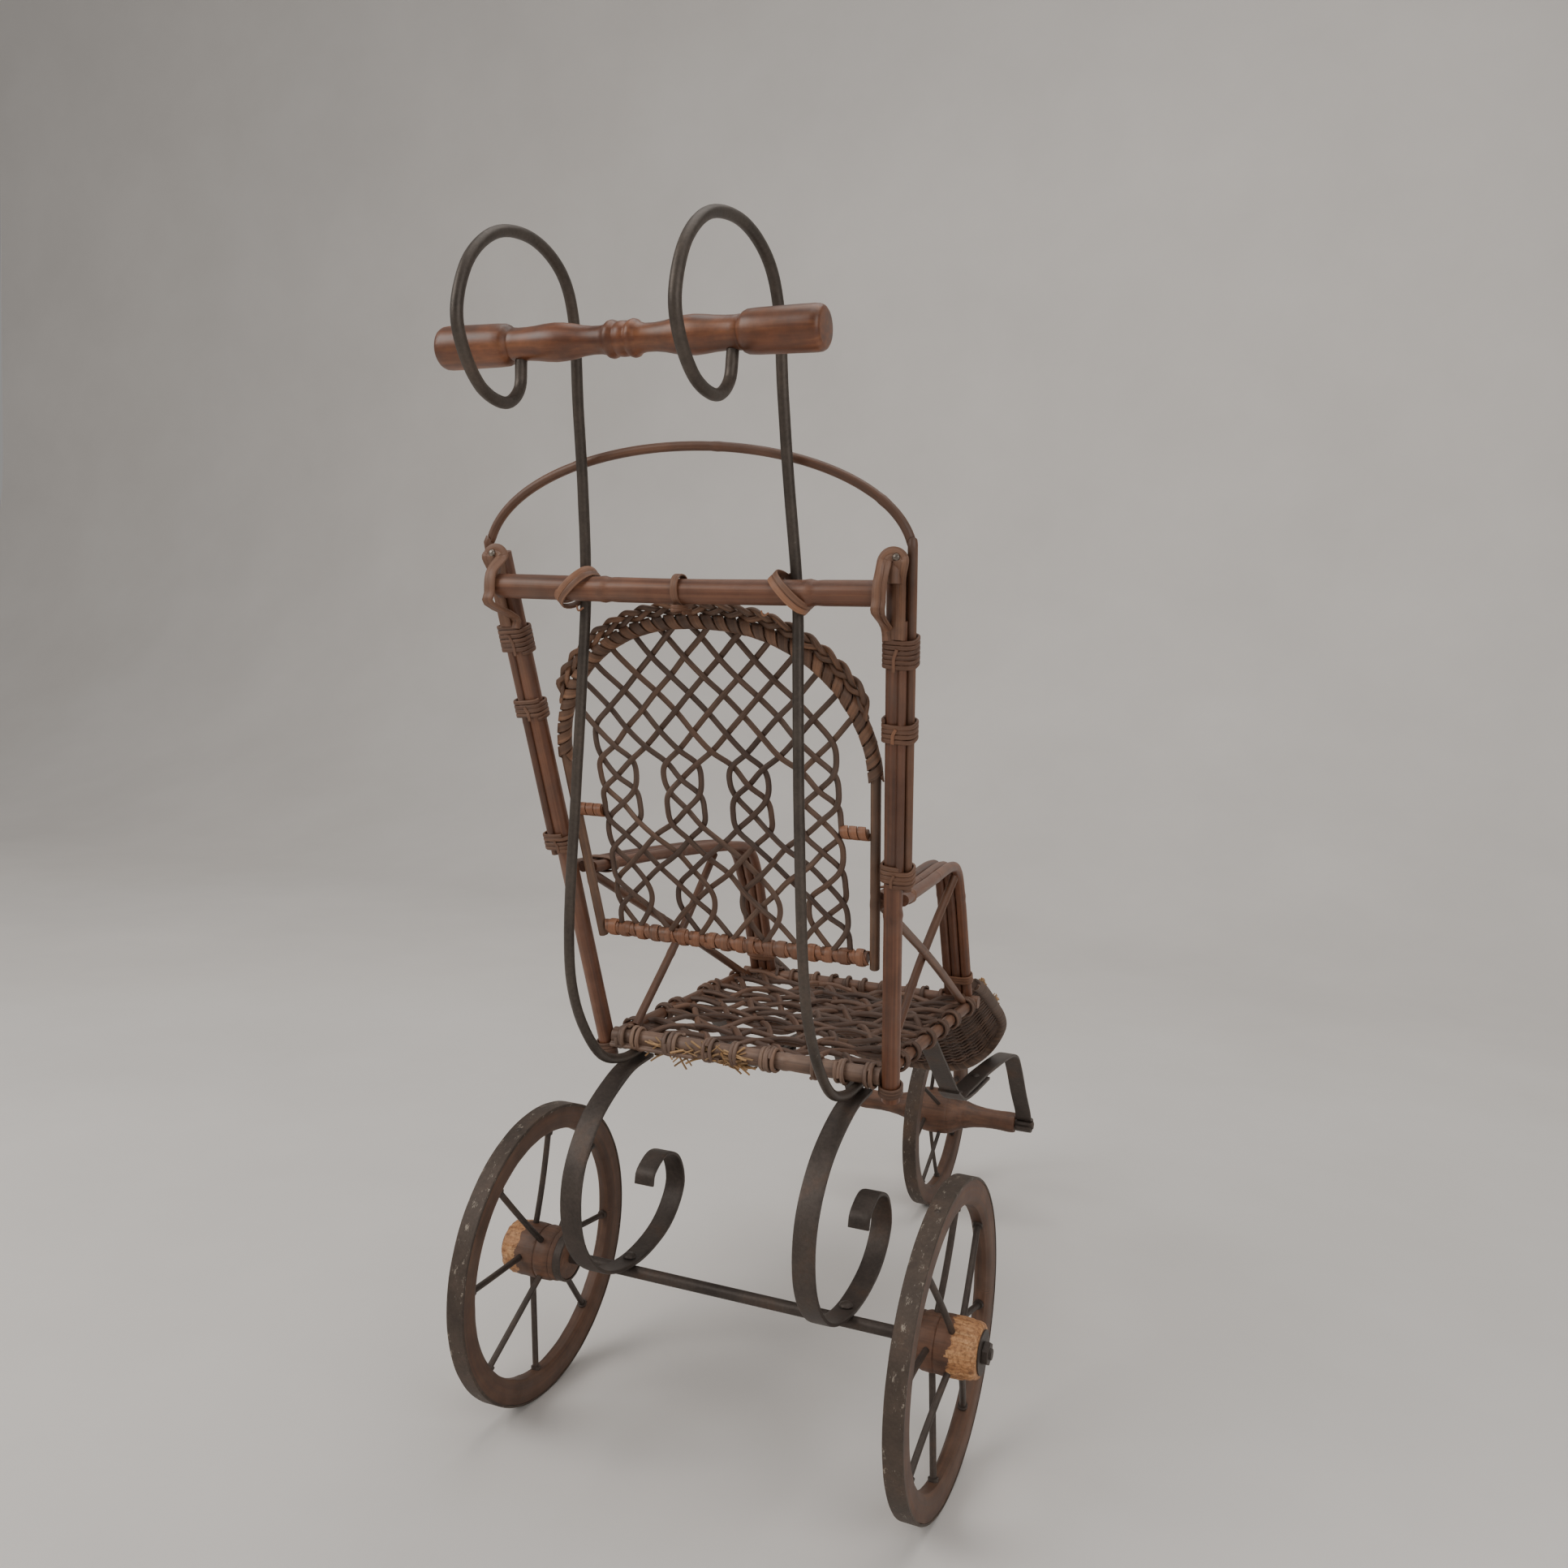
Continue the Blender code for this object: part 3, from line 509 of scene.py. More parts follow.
ROD_IRON = iron("drawn_rod", (0.056, 0.046, 0.039), (0.088, 0.072, 0.060), (0.112, 0.086, 0.068),
                (0.50, 0.45, 0.40), 0.6, (0.34, 0.58), 0.5)
ARCH_CANE = grained("arch_wrapping", (0.060, 0.036, 0.026), (0.150, 0.080, 0.048), (0.270, 0.150, 0.090),
                    (12, 700, 700), (0.44, 0.68), 0.4, 0.0, 0.7)
SEAT_WICKER = grained("seat_willow", (0.040, 0.021, 0.014), (0.105, 0.055, 0.035), (0.200, 0.112, 0.074),
                      (12, 600, 600), (0.48, 0.72), 0.4, 0.0)
FOOT_WICKER = grained("footrest_willow", (0.045, 0.028, 0.021), (0.105, 0.064, 0.045), (0.190, 0.120, 0.080),
                      (12, 600, 600), (0.50, 0.76), 0.45, 0.0)
WICKER = grained("dark_wicker", (0.034, 0.020, 0.014), (0.082, 0.047, 0.032), (0.155, 0.092, 0.062),
                 (12, 600, 600), (0.50, 0.76), 0.45, 0.0)
STRAW = grained("broken_straw", (0.16, 0.088, 0.040), (0.31, 0.190, 0.092), (0.52, 0.36, 0.20),
                (14, 800, 800), (0.55, 0.8), 0.4, 0.0, 0.3, (0.3, 0.24, 0.18), 0.15)
RIM_WOOD = grained("rim_wood", (0.048, 0.025, 0.016), (0.100, 0.050, 0.030), (0.165, 0.080, 0.046),
                   (9, 330, 330), (0.46, 0.72), 0.4, 0.0, 0.75)
HUB_WOOD = grained("hub_wood", (0.050, 0.024, 0.014), (0.125, 0.057, 0.032), (0.205, 0.096, 0.052),
                   (20, 330, 330), (0.44, 0.72), 0.5, 0.0, 0.85,
                   raw=((0.25, 0.105, 0.040), (0.44, 0.215, 0.090), (0.60, 0.350, 0.170)))
GRIP_WOOD = grained("grip_wood", (0.060, 0.020, 0.010), (0.165, 0.054, 0.021), (0.310, 0.122, 0.048),
                    (16, 230, 230), (0.30, 0.52), 0.2, 0.2, 1.0, (0.035, 0.026, 0.020), 0.75)


# ---- wheels

RIM_DEPTH = 0.0175
TYRE_THICK = 0.0020
SPOKES = 8
SPOKE_STAGGER = 0.0085         # how far each spoke's foot lies to one side of the wheel's middle


def mirrored(right):
    """A profile given from its middle to the right, with its left half added."""
    return [(-x, radius) for x, radius in reversed(right[1:])] + right


def hoop_outline(half, inner, outer, edge):
    """Section of a flat band with softened outer edges."""
    return [(-half, inner), (-half, outer - edge), (edge - half, outer), (half - edge, outer),
            (half, outer - edge), (half, inner)]


def rear_hub(outward):
    """Turned barrel: banded and grooved at its inner end, worn and chipped towards the outer one."""
    profile = [(-0.0260, 0.0060), (-0.0260, 0.0152), (-0.0252, 0.0164), (-0.0200, 0.0166), (-0.0199, 0.0182),
               (-0.0185, 0.0190), (-0.0165, 0.0191), (-0.0158, 0.0184), (-0.0150, 0.0191), (-0.0125, 0.0200),
               (-0.0060, 0.0203), (-0.0042, 0.0200), (-0.0034, 0.0193), (-0.0026, 0.0200), (0.0020, 0.0204),
               (0.0050, 0.0204), (0.0080, 0.0204), (0.0110, 0.0204), (0.0140, 0.0203), (0.0165, 0.0202),
               (0.0190, 0.0199), (0.0215, 0.0195), (0.0235, 0.0190), (0.0250, 0.0182), (0.0258, 0.0170),
               (0.0260, 0.0130), (0.0258, 0.0060)]
    return [(x * outward, radius) for x, radius in profile]


def front_hub():
    """Long spindle with a fat belly, fine grooves and slightly swollen ends."""
    right = [(0.0000, 0.0235), (0.0060, 0.0234), (0.0110, 0.0230), (0.0140, 0.0225), (0.0152, 0.0217),
             (0.0164, 0.0219), (0.0200, 0.0203), (0.0260, 0.0165), (0.0300, 0.0149), (0.0312, 0.0142),
             (0.0324, 0.0143), (0.0360, 0.0131), (0.0420, 0.0116), (0.0520, 0.0103), (0.0620, 0.0098),
             (0.0700, 0.0100), (0.0760, 0.0104), (0.0800, 0.0105), (0.0835, 0.0102), (0.0850, 0.0096)]
    return [(-0.0850, 0.0060), *mirrored(right), (0.0850, 0.0060)]


def wheel(prefix, profile, spoke_r, first, outward, nicks):
    body = prefix + "_wheel"
    centre = middle(prefix + "_tyre")
    outer = size(prefix + "_tyre").z / 2
    half = size(prefix + "_tyre").x / 2
    inner = outer - TYRE_THICK
    seed = centre.x * 40

    def hammered(x, angle):
        return 0.00022 * smooth_noise(cos(angle) * 7 + seed, sin(angle) * 7, x * 120)

    turned(prefix + "_tyre_ring", hoop_outline(half, inner, outer, 0.0005), centre, TYRE_IRON, body,
           [prefix + "_tyre"], 200, True, True, hammered)

    rim_half = size(prefix + "_rim").x / 2
    top = inner - 0.0001
    low = top - RIM_DEPTH
    belly = [(rim_half, low + 0.0062), (rim_half - 0.0005, low + 0.0040), (rim_half - 0.0014, low + 0.0020),
             (rim_half - 0.0028, low + 0.0004), (0.0010, low)]
    felloe = [(-rim_half, top), (rim_half, top), *belly, *((-x, radius) for x, radius in reversed(belly))]

    def worn(x, angle):
        knock = smooth_noise(cos(angle) * 9 - seed, sin(angle) * 9, x * 150)
        return -0.0004 * knock + 0.0009 * max(0.0, abs(knock) - 0.42)

    turned(prefix + "_rim_felloe", felloe, centre, RIM_WOOD, body, [prefix + "_rim"], 200,
           True, True, worn)

    def chipped(x, angle):
        share = min(max((x * outward - 0.004) / 0.006, 0.0), 1.0)
        rough = smooth_noise(x * 150, cos(angle) * 2.6 + seed, sin(angle) * 2.6)
        fine = smooth_noise(x * 420, cos(angle) * 9 + seed, sin(angle) * 9)
        return 0.0001 * fine + share * (0.0022 * max(0.0, rough + 0.05) + 0.0006 * fine)

    def bare(x):
        edge = 0.0070 if outward > 0 else 0.0108
        return min(max(0.5 + (x * outward - edge) / 0.016, 0.0), 1.0) if outward else 0.18

    rows = [profile[0]]
    for a, b in zip(profile, profile[1:]):
        pieces = max(1, int(abs(b[0] - a[0]) / 0.0016))
        rows += [(a[0] + (b[0] - a[0]) * k / pieces, a[1] + (b[1] - a[1]) * k / pieces)
                 for k in range(1, pieces + 1)]
    turned(prefix + "_hub_barrel", rows, centre, HUB_WOOD, body, [prefix + "_hub"], 96,
           dent=chipped, raw=bare)

    bars = Strands()
    for index in range(SPOKES):
        angle = first + 2 * pi * index / SPOKES
        out = Vector((0, cos(angle), sin(angle)))
        stagger = Vector((SPOKE_STAGGER if index % 2 else -SPOKE_STAGGER, 0, 0))
        root = centre + out * 0.0080 + stagger
        tip = centre + out * (low + 0.0030)
        sway = Vector((nicks.random() - 0.5, nicks.random() - 0.5, nicks.random() - 0.5)) * 0.0016
        path = [root.lerp(tip, k / 12) + sway * sin(pi * k / 12) for k in range(13)]
        bars.add(path, spoke_r * 2, sides=12, tone=nicks.random())
        bars.add([tip - (tip - root).normalized() * 0.0052, tip - (tip - root).normalized() * 0.0026],
                 spoke_r * 3.1, sides=12)
    bush = size(prefix + "_spokes").x / 2
    bars.add([centre - Vector((bush, 0, 0)), centre, centre + Vector((bush, 0, 0))], 0.0150, sides=24)
    for angle in (1.9, 1.9 + pi):
        out = Vector((0, cos(angle), sin(angle)))
        bars.add([centre + out * (outer - 0.0008), centre + out * (outer - 0.0001),
                  centre + out * (outer + 0.0004)], 0.0052, sides=12, shape=lambda share, _: 1 - 0.3 * share)
    bars.build(prefix + "_spoke_bars", IRON, body, [prefix + "_spokes"])


def hexagon(name, centre, reach, length, node):
    """A worn six-sided nut with a washer behind it."""
    part = Strands()
    outward = 1 if centre.x > 0 else -1
    start = centre - Vector((length / 2, 0, 0))
    path = [start, start + Vector((0.0005, 0, 0)), start + Vector((length - 0.0005, 0, 0)),
            start + Vector((length, 0, 0))]
    part.add(path, reach * 2, sides=6, shape=lambda share, _: 0.93 if share in (0.0, 1.0) else 1.0)
    washer = centre - Vector((outward * (length / 2 + 0.0004), 0, 0))
    part.add([washer - Vector((0.0005, 0, 0)), washer + Vector((0.0005, 0, 0))], 0.0300, sides=36,
             shape=lambda _, angle: 1 + 0.02 * sin(angle * 3))
    part.build(name, IRON, "root", [node], 25)


def build_wheels():
    nicks = random.Random(11)
    for side, outward, first in (("left", -1, -93), ("right", 1, -97)):
        prefix = "rear_" + side
        wheel(prefix, rear_hub(outward), 0.00235, radians(first), outward, nicks)
        band = middle(prefix + "_hub_band")
        reach = size(prefix + "_hub_band").z / 2
        half = size(prefix + "_hub_band").x / 2
        turned(prefix + "_hub_ring", hoop_outline(half, 0.0166, reach, 0.0003), band, IRON, prefix + "_wheel",
               [prefix + "_hub_band"], 96, True, True)
        hexagon(prefix + "_axle_nut", middle(prefix + "_nut"), size(prefix + "_nut").y / 2,
                size(prefix + "_nut").x, prefix + "_nut")
    wheel("front", front_hub(), 0.0020, radians(-80), 0, nicks)


# ---- iron work

STRAP_THICK = 0.0030
ROD_WIDTH = 0.0070


def bar(name, node, reach_in):
    """An axle: a forged round bar with chamfered ends."""
    low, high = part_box(node)
    centre = (low + high) / 2
    radius = (high.z - low.z) / 2
    part = Strands()
    count = 60
    ends = reach_in / (high.x - low.x)
    path = [Vector((low.x + (high.x - low.x) * k / count, centre.y, centre.z)) for k in range(count + 1)]
    part.add(path, radius * 2, sides=20, tone=0.5,
             shape=lambda share, _: 0.82 if min(share, 1 - share) < ends else 1.0)
    part.build(name, IRON, "root", [node], 30)


def strap(part, path, width, thick):
    """Flat forged strap, bent along a path that stays upright."""
    fine = evenly(path, 0.0035)
    along = tangents(fine)
    normals = [tangent.cross(Vector((1, 0, 0))).normalized() for tangent in along]
    seed = RNG.random() * 90

    def forged(share, angle):
        return 1.0 + 0.02 * smooth_noise(share * 14 + seed, cos(angle), sin(angle))

    part.add(fine, width, thick, normals, 16, 0.5, forged, 0.28)


def rivet(part, centre, out, radius, height):
    path = [centre + out * height * k / 5 for k in range(6)]
    part.add(path, radius * 2, sides=20, tone=0.9,
             shape=lambda share, _: sqrt(max(0.04, 1 - (share * 0.97) ** 2)))


def build_springs():
    low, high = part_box("rear_right_spring")
    width = high.x - low.x
    seat = high.z - STRAP_THICK / 2
    shape = [(0.018, seat), (-0.018, seat - 0.0050), (-0.060, 0.2450), (-0.0820, 0.2080), (-0.0770, 0.1640),
             (-0.0460, 0.1310), (0.004, low.z + 0.0015), (0.0520, 0.1275), (0.0760, 0.1520),
             (0.0680, 0.1780), (0.0460, 0.1880), (0.0270, 0.1800), (0.0240, 0.1700)]
    for side in ("left", "right"):
        node = "rear_" + side + "_spring"
        x = middle(node).x
        part = Strands()
        strap(part, smooth_path([at(x, y, z) for y, z in shape], 6), width, STRAP_THICK)
        part.build(node + "_strap", IRON, "root", [node], 30)
        head = middle(node + "_rivet")
        part = Strands()
        rivet(part, Vector((x, head.y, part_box(node + "_rivet")[0].z)), Vector((0, 0, 1)), 0.0050, 0.0028)
        part.build(node + "_rivet_head", IRON, "root", [node + "_rivet"], 50)


def build_front_straps():
    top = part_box("front_right_strap")[1].z - STRAP_THICK / 2
    run = [(0.098, top), (0.140, top - 0.0005), (0.170, 0.2600), (0.2310, 0.2110), (0.2600, 0.2070),
           (0.3200, 0.2060), (0.3900, 0.2015), (0.4320, 0.1950), (0.4540, 0.1800), (0.4860, 0.1420),
           (0.5100, 0.1160)]
    gap = FRONT_AXLE.y - AXLE.y
    eye = [(gap + 0.0063 * cos(radians(120 - 15 * k)), FRONT_AXLE.z + 0.0063 * sin(radians(120 - 15 * k)))
           for k in range(21)]
    for side in ("left", "right"):
        node = "front_" + side + "_strap"
        x = middle(node).x
        part = Strands()
        path = smooth_path([at(x, y, z) for y, z in run], 6) + [at(x, y, z) for y, z in eye]
        strap(part, path, size(node).x, STRAP_THICK)
        lap = [(0.2180, 0.2180), (0.2400, 0.2062), (0.2700, 0.2030), (0.3000, 0.2026), (0.3220, 0.2024)]
        strap(part, smooth_path([at(x, y, z) for y, z in lap], 5), size(node).x + 0.0030, 0.0028)
        for y in (0.2500, 0.3050):
            rivet(part, at(x, y, 0.2078), Vector((0, 0, 1)), 0.0038, 0.0020)
        for y in (0.112, 0.132):
            rivet(part, at(x, y, top - 0.0014), Vector((0, 0, -1)), 0.0036, 0.0020)
        part.build(node + "_bar", IRON, "root", [node], 30)


def build_handle():
    foot = SEAT_REAR.z - size("seat_rear_rail").z / 2 - 0.0036
    run = [(0.0866, 0.0170, foot), (0.0866, -0.0180, foot), (0.0866, -0.0520, 0.2930),
           (0.0860, -0.0850, 0.3350), (0.0840, -0.0990, 0.3860), (0.0790, -0.1030, 0.4800),
           (0.0755, -0.1045, 0.5600), (0.0735, -0.1063, 0.6130), (0.0705, -0.1180, 0.6735),
           (0.0690, -0.1290, 0.7250), (0.0680, -0.1374, 0.7714), (0.0670, -0.1540, 0.7965),
           (0.0660, -0.1868, 0.8075), (0.0650, -0.2240, 0.8015), (0.0650, -0.2500, 0.7810),
           (0.0650, -0.2604, 0.7530), (0.0650, -0.2540, 0.7320), (0.0655, -0.2360, 0.7150),
           (0.0660, -0.2120, 0.7110), (0.0665, -0.1975, 0.7210), (0.0670, GRIP.y - AXLE.y, GRIP.z - 0.0091)]
    for side, mirror in SIDES:
        part = Strands()
        fine = evenly(smooth_path([at(mirror * x, y, z) for x, y, z in run], 6), 0.003)
        seed = mirror * 30.0

        def drawn(share, angle):
            return 1.0 + 0.025 * smooth_noise(share * 40 + seed, cos(angle), sin(angle))

        part.add(fine, ROD_WIDTH, sides=18, tone=0.5, shape=drawn)
        part.build("handle_" + side + "_bar", ROD_IRON, "root", ["handle_" + side + "_rod"], 40)

    right = [(0.0000, 0.0098), (0.0020, 0.0097), (0.0030, 0.0091), (0.0038, 0.0091), (0.0050, 0.0101),
             (0.0068, 0.0106), (0.0085, 0.0102), (0.0098, 0.0092), (0.0110, 0.0084), (0.0140, 0.0078),
             (0.0200, 0.0078), (0.0260, 0.0085), (0.0320, 0.0097), (0.0380, 0.0105), (0.0440, 0.0108),
             (0.0500, 0.0104), (0.0560, 0.0097), (0.0620, 0.0093), (0.0680, 0.0092), (0.0712, 0.0095),
             (0.0722, 0.0090), (0.0732, 0.0096), (0.0745, 0.0110), (0.0765, 0.0118), (0.0820, 0.0121),
             (0.0950, 0.0123), (0.1080, 0.0125), (0.1150, 0.0125), (0.1178, 0.0122), (0.1195, 0.0114),
             (0.1203, 0.0103), (0.1205, 0.0090)]
    def handled(x, angle):
        return 0.00018 * smooth_noise(x * 40, cos(angle) * 1.5, sin(angle) * 1.5)

    turned("turned_grip", mirrored(right), GRIP, GRIP_WOOD, "root", ["grip"], 96, dent=handled,
           sharp=50)


# ---- chair frame

def post_frame(z, mirror):
    """A point on a post's axis, its axis, and the directions across it and out of the back."""
    place = flip(post_at(z), mirror)
    axis = flip(POST_AXIS, mirror)
    across = (Vector((mirror, 0, 0)) - axis * mirror * axis.x).normalized()
    return place, axis, across, axis.cross(across).normalized()


def build_post(side, mirror):
    """The post's thick cane, with the thin one that runs beside it from the arm up."""
    part = Strands()
    foot = flip(POST_FOOT, mirror)
    top = flip(POST_TOP, mirror)
    tip = top + (top - foot).normalized() * 0.0012
    cane(part, [foot, foot.lerp(top, 0.5), tip], POST_R, (0.38,) if mirror > 0 else (0.71,), 0.62, 26)
    across, deep = post_frame(0.45, mirror)[2:]
    offset = across * (POST_R - 0.0006) + deep * -0.0052 * mirror
    thin = [flip(post_at(z), mirror) + offset for z in (0.434, 0.52, 0.60)]
    cane(part, thin, 0.0027, (0.55,), 0.40, 12)
    part.build("post_" + side + "_canes", BAMBOO, "root", ["post_" + side])


def build_binding(node, mirror, turns, length):
    """Turns of split cane round the post and the hoop's leg, with the tucked end over them."""
    place, axis, across, deep = post_frame(middle(node).z, mirror)
    centre = place + across * HOOP_R
    wrap = Strands()
    loops(wrap, centre, axis, across * (POST_R + HOOP_R + 0.0010), deep * (POST_R + 0.0012), turns,
          length * 0.90, length / turns * 0.84, 0.0018, None, 0.62)
    tuck = centre - across * 0.002 - deep * mirror * (POST_R + 0.0021)
    tail = [tuck - axis * length * 0.5, tuck - axis * length * 0.1,
            tuck + axis * length * 0.2 + across * 0.002]
    wrap.add(tail, 0.0024, 0.0010, [deep] * 3, 6)
    wrap.build(node + "_turns", BINDING, "root", [node])


def saddle_strip(mirror, centre, lay, reach):
    """One flat strip: up over the rail's end, round the post's top and down the post's outer side."""
    low = flip(post_at(0.5860), mirror)
    path = [Vector((low.x - mirror * reach * 0.5, low.y - POST_R - 0.0016, 0.5860)),
            Vector((low.x - mirror * reach * 0.6, low.y - POST_R - 0.0034, 0.5935))]
    for z in (0.6010, 0.6080, 0.6160, 0.6230):
        path.append(Vector((centre.x - mirror * reach * 0.75, saddle_y(z) - 0.0008 * lay, z)))
    for step in range(9):
        turn = pi * step / 8
        z = centre.z + reach * 0.95 * sin(turn)
        path.append(Vector((centre.x - mirror * reach * cos(turn), saddle_y(z), z)))
    for z in (0.6220, 0.6130, 0.6040, 0.5950, 0.5870):
        base = flip(post_at(z), mirror)
        path.append(Vector((base.x + mirror * reach * 0.75, base.y - POST_R - 0.0020, z)))
    return smooth_path(path, 3)


def build_saddle(side, mirror):
    centre = flip(POST_TOP, mirror) + Vector((0, 0, -0.0030))
    saddle = Strands()
    for lay, reach in enumerate((0.0032, 0.0070)):
        fine = saddle_strip(mirror, centre, lay, reach)
        saddle.add(fine, 0.0056, 0.0019, [Vector((0, -1, 0))] * len(fine), 10, 0.25 + 0.3 * lay,
                   square=0.6)
    saddle.add([centre + Vector((0, -0.004, -0.012)), centre + Vector((0, -0.004, -0.004)),
                centre + Vector((0, -0.003, 0.0036))], 0.0120, 0.0100, sides=18, tone=0.3,
               shape=lambda share, _: 1 - 0.45 * share ** 4)
    saddle.build("saddle_" + side + "_strips", BINDING, "root", ["saddle_" + side])
    pin = Strands()
    head = Vector((centre.x + mirror * 0.0020, saddle_y(centre.z) - 0.0002, centre.z + 0.0030))
    rivet(pin, head, Vector((0, -1, 0)), 0.0024, 0.0016)
    pin.build("saddle_" + side + "_nail", NAIL_IRON, "root", ())


def build_posts():
    for side, mirror in SIDES:
        build_post(side, mirror)
        for label, turns, length in (("top", 6, 0.0205), ("middle", 4, 0.0140), ("arm", 4, 0.0135)):
            build_binding("post_" + side + "_" + label + "_binding", mirror, turns, length)
        build_saddle(side, mirror)


def saddle_y(z):
    """Depth of the saddle strips: behind the rail's end below, close over the post's top above."""
    share = min(max((z - 0.6180) / 0.0160, 0.0), 1.0)
    blend = share * share * (3 - 2 * share)
    low = TOP_RAIL.y - TOP_RAIL_R - 0.0012
    return low + (POST_TOP.y - POST_R - 0.0012 - low) * blend


def build_hoop():
    half = size("hoop").x / 2 - HOOP_R
    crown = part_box("hoop")[1].z - HOOP_R - POST_TOP.z
    legs = [post_at(z) + Vector((POST_R + HOOP_R, 0, 0)) for z in (HOOP_FOOT_Z, 0.54, POST_TOP.z)]
    end = legs[-1]
    arc = [Vector((half * cos(pi / 2 * k / 12), end.y - 0.004 * sin(pi / 2 * k / 12),
                   POST_TOP.z + crown * sin(pi / 2 * k / 12))) for k in range(1, 12)]
    right = legs + arc
    top = Vector((0, end.y - 0.004, POST_TOP.z + crown))
    path = smooth_path(right + [top] + [flip(point, -1) for point in reversed(right)], 4)
    part = Strands()
    cane(part, path, HOOP_R, (0.33, 0.475, 0.60, 0.76), 0.45, 14, 0.0024)
    part.build("hoop_cane", CANE, "root", ["hoop"])


def build_top_rail():
    part = Strands()
    cane(part, smooth_path(across_box("top_rail", 0.0012), 20), TOP_RAIL_R, (0.30, 0.83), 0.55, 30)
    part.build("top_rail_cane", BAMBOO, "root", ["top_rail"])
    for side, mirror in SIDES:
        tie = Strands()
        centre = Vector((mirror * 0.0735, TOP_RAIL.y + 0.0026, TOP_RAIL.z))
        axis = Vector((1, 0, mirror)).normalized()
        across = Vector((mirror, 0, -1)).normalized()
        for turn, shift in enumerate((-0.0024, 0.0020)):
            loops(tie, centre + axis * shift, axis, across * (TOP_RAIL_R * 1.50 + 0.0030),
                  Vector((0, TOP_RAIL_R + 0.0060, 0)), 1.05, 0.0010, 0.0040, 0.0013, (0.95, 0.35)[turn], 0.8)
        tail = centre + Vector((-0.010 * mirror, -0.010, -0.013))
        end = [tail, tail + Vector((-0.003, -0.001, -0.002)), tail + Vector((-0.005, 0, 0.001))]
        tie.add(smooth_path(end), 0.0012, sides=6, tone=1.0)
        tie.build("lashing_" + side + "_turns", BINDING, "root", ["lashing_" + side])
    tie = Strands()
    loops(tie, TOP_RAIL, Vector((1, 0, 0)), Vector((0, TOP_RAIL_R + 0.0010, 0)),
          Vector((0, 0, TOP_RAIL_R + 0.0012)), 2, 0.0040, 0.0030, 0.0012, 0.5, 0.9)
    drop = Vector((0.0, TOP_RAIL.y + 0.0030, TOP_RAIL.z - 0.0125))
    loops(tie, drop, Vector((0, 0, 1)), Vector((0.0036, 0, 0)), Vector((0, 0.0110, 0)), 2, 0.0040, 0.0022,
          0.0012, 0.4, 0.9)
    tie.build("arch_tie_turns", BINDING, "root", ["arch_tie"])


# ---- back panel

def arch_half(offset, legs):
    """Half the arch in the panel's plane, from its leg's foot to the crown."""
    inset = POST_R + ARCH_R + LEG_ROOM
    points = [(post_at(z).x - inset + offset, z) for z in legs]
    spring_x = post_at(ARCH_SPRING_Z).x - inset
    rise = ARCH_TOP_Z - ARCH_SPRING_Z
    for step in range(17):
        angle = pi / 2 * step / 16
        points.append(((spring_x + offset) * cos(angle) ** 0.9, ARCH_SPRING_Z + (rise + offset) * sin(angle)))
    return points


def both_sides(points, lift=0.0):
    right = [panel(x, z, lift) for x, z in points]
    return right + [flip(point, -1) for point in reversed(right[:-1])]


def build_arch():
    core = Strands()
    path = smooth_path(both_sides(arch_half(0.0, (ARCH_FOOT_Z, 0.42))), 2)
    cane(core, path, 0.0034, (0.08, 0.93), 0.3, 14, 0.003)
    wrapped = both_sides(arch_half(0.0, ()))

    def thickness(share):
        return 0.0043 + 0.0006 * smooth_noise(share * 30, 3.0, 0.0)

    wound(core, smooth_path(wrapped, 2), thickness, 0.0172, 0.0066, 0.0015, 2, (0.95, 0.15), 18)
    core.build("back_arch_wrapping", ARCH_CANE, "root", ["back_arch"])

    outline = both_sides([point for point in arch_half(ARCH_R + 0.0042, ())[4:]])
    fine = evenly(smooth_path(outline, 3), 0.0020)
    along = tangents(fine)
    braid = Strands()
    for strand in range(3):
        points = []
        for index, place in enumerate(fine):
            phase = 2 * pi * (index * 0.0020 / 0.0400 + strand / 3)
            across = along[index].cross(PANEL_NORMAL).normalized()
            ends = min(index, len(fine) - 1 - index) / 7
            pull = 0.0050 * max(0.0, 1 - ends)
            wave = 0.0033 * cos(phase) * min(1.0, ends)
            points.append(place + across * (wave + pull) + PANEL_NORMAL * 0.0019 * sin(2 * phase))
        braid.add(points, 0.0036, 0.0024, [PANEL_NORMAL] * len(points), 8, (0.3, 0.9, 0.6)[strand],
                  square=0.7)
    braid.build("arch_braid_strands", ARCH_CANE, "root", ["arch_braid"])


ROW_Z = {8: 0.6080, 7: 0.5965, 6: 0.5842, 5: 0.5720, 4: 0.5597, 3: 0.5475, 2: 0.5352, 1: 0.5230, 0: 0.5108,
         -1: 0.5003, -2: 0.4898, -3: 0.4793, -4: 0.4688, -5: 0.4583, -6: 0.4478, -7: 0.4363, -8: 0.4250,
         -9: 0.4143, -10: 0.4036, -11: 0.3930, -12: 0.3770}
CELL = 0.01225


def missing(column, row):
    """Whether a lattice crossing is left out, so that its strands turn back in a loop."""
    if abs(column) >= 8:
        return row <= 0
    return column % 4 == 0 and row in (-2, -4, -10)


def lattice_place(column, row, sign):
    wander = 0.0009
    jitter_x = wander * smooth_noise(column * 1.7, row * 2.3, 0.5)
    jitter_z = wander * smooth_noise(column * 2.1, row * 1.3, 7.5)
    x = column * CELL
    squeeze = 0.93 if -12 < row < 0 else 1.0
    home = 2 * round((column - 2) / 4) * 2 + 2
    if abs(home) <= 6 and row < 0:
        x = (home + (column - home) * squeeze) * CELL
    return panel(x + jitter_x, ROW_Z[row] + jitter_z, 0.0012 * sign)


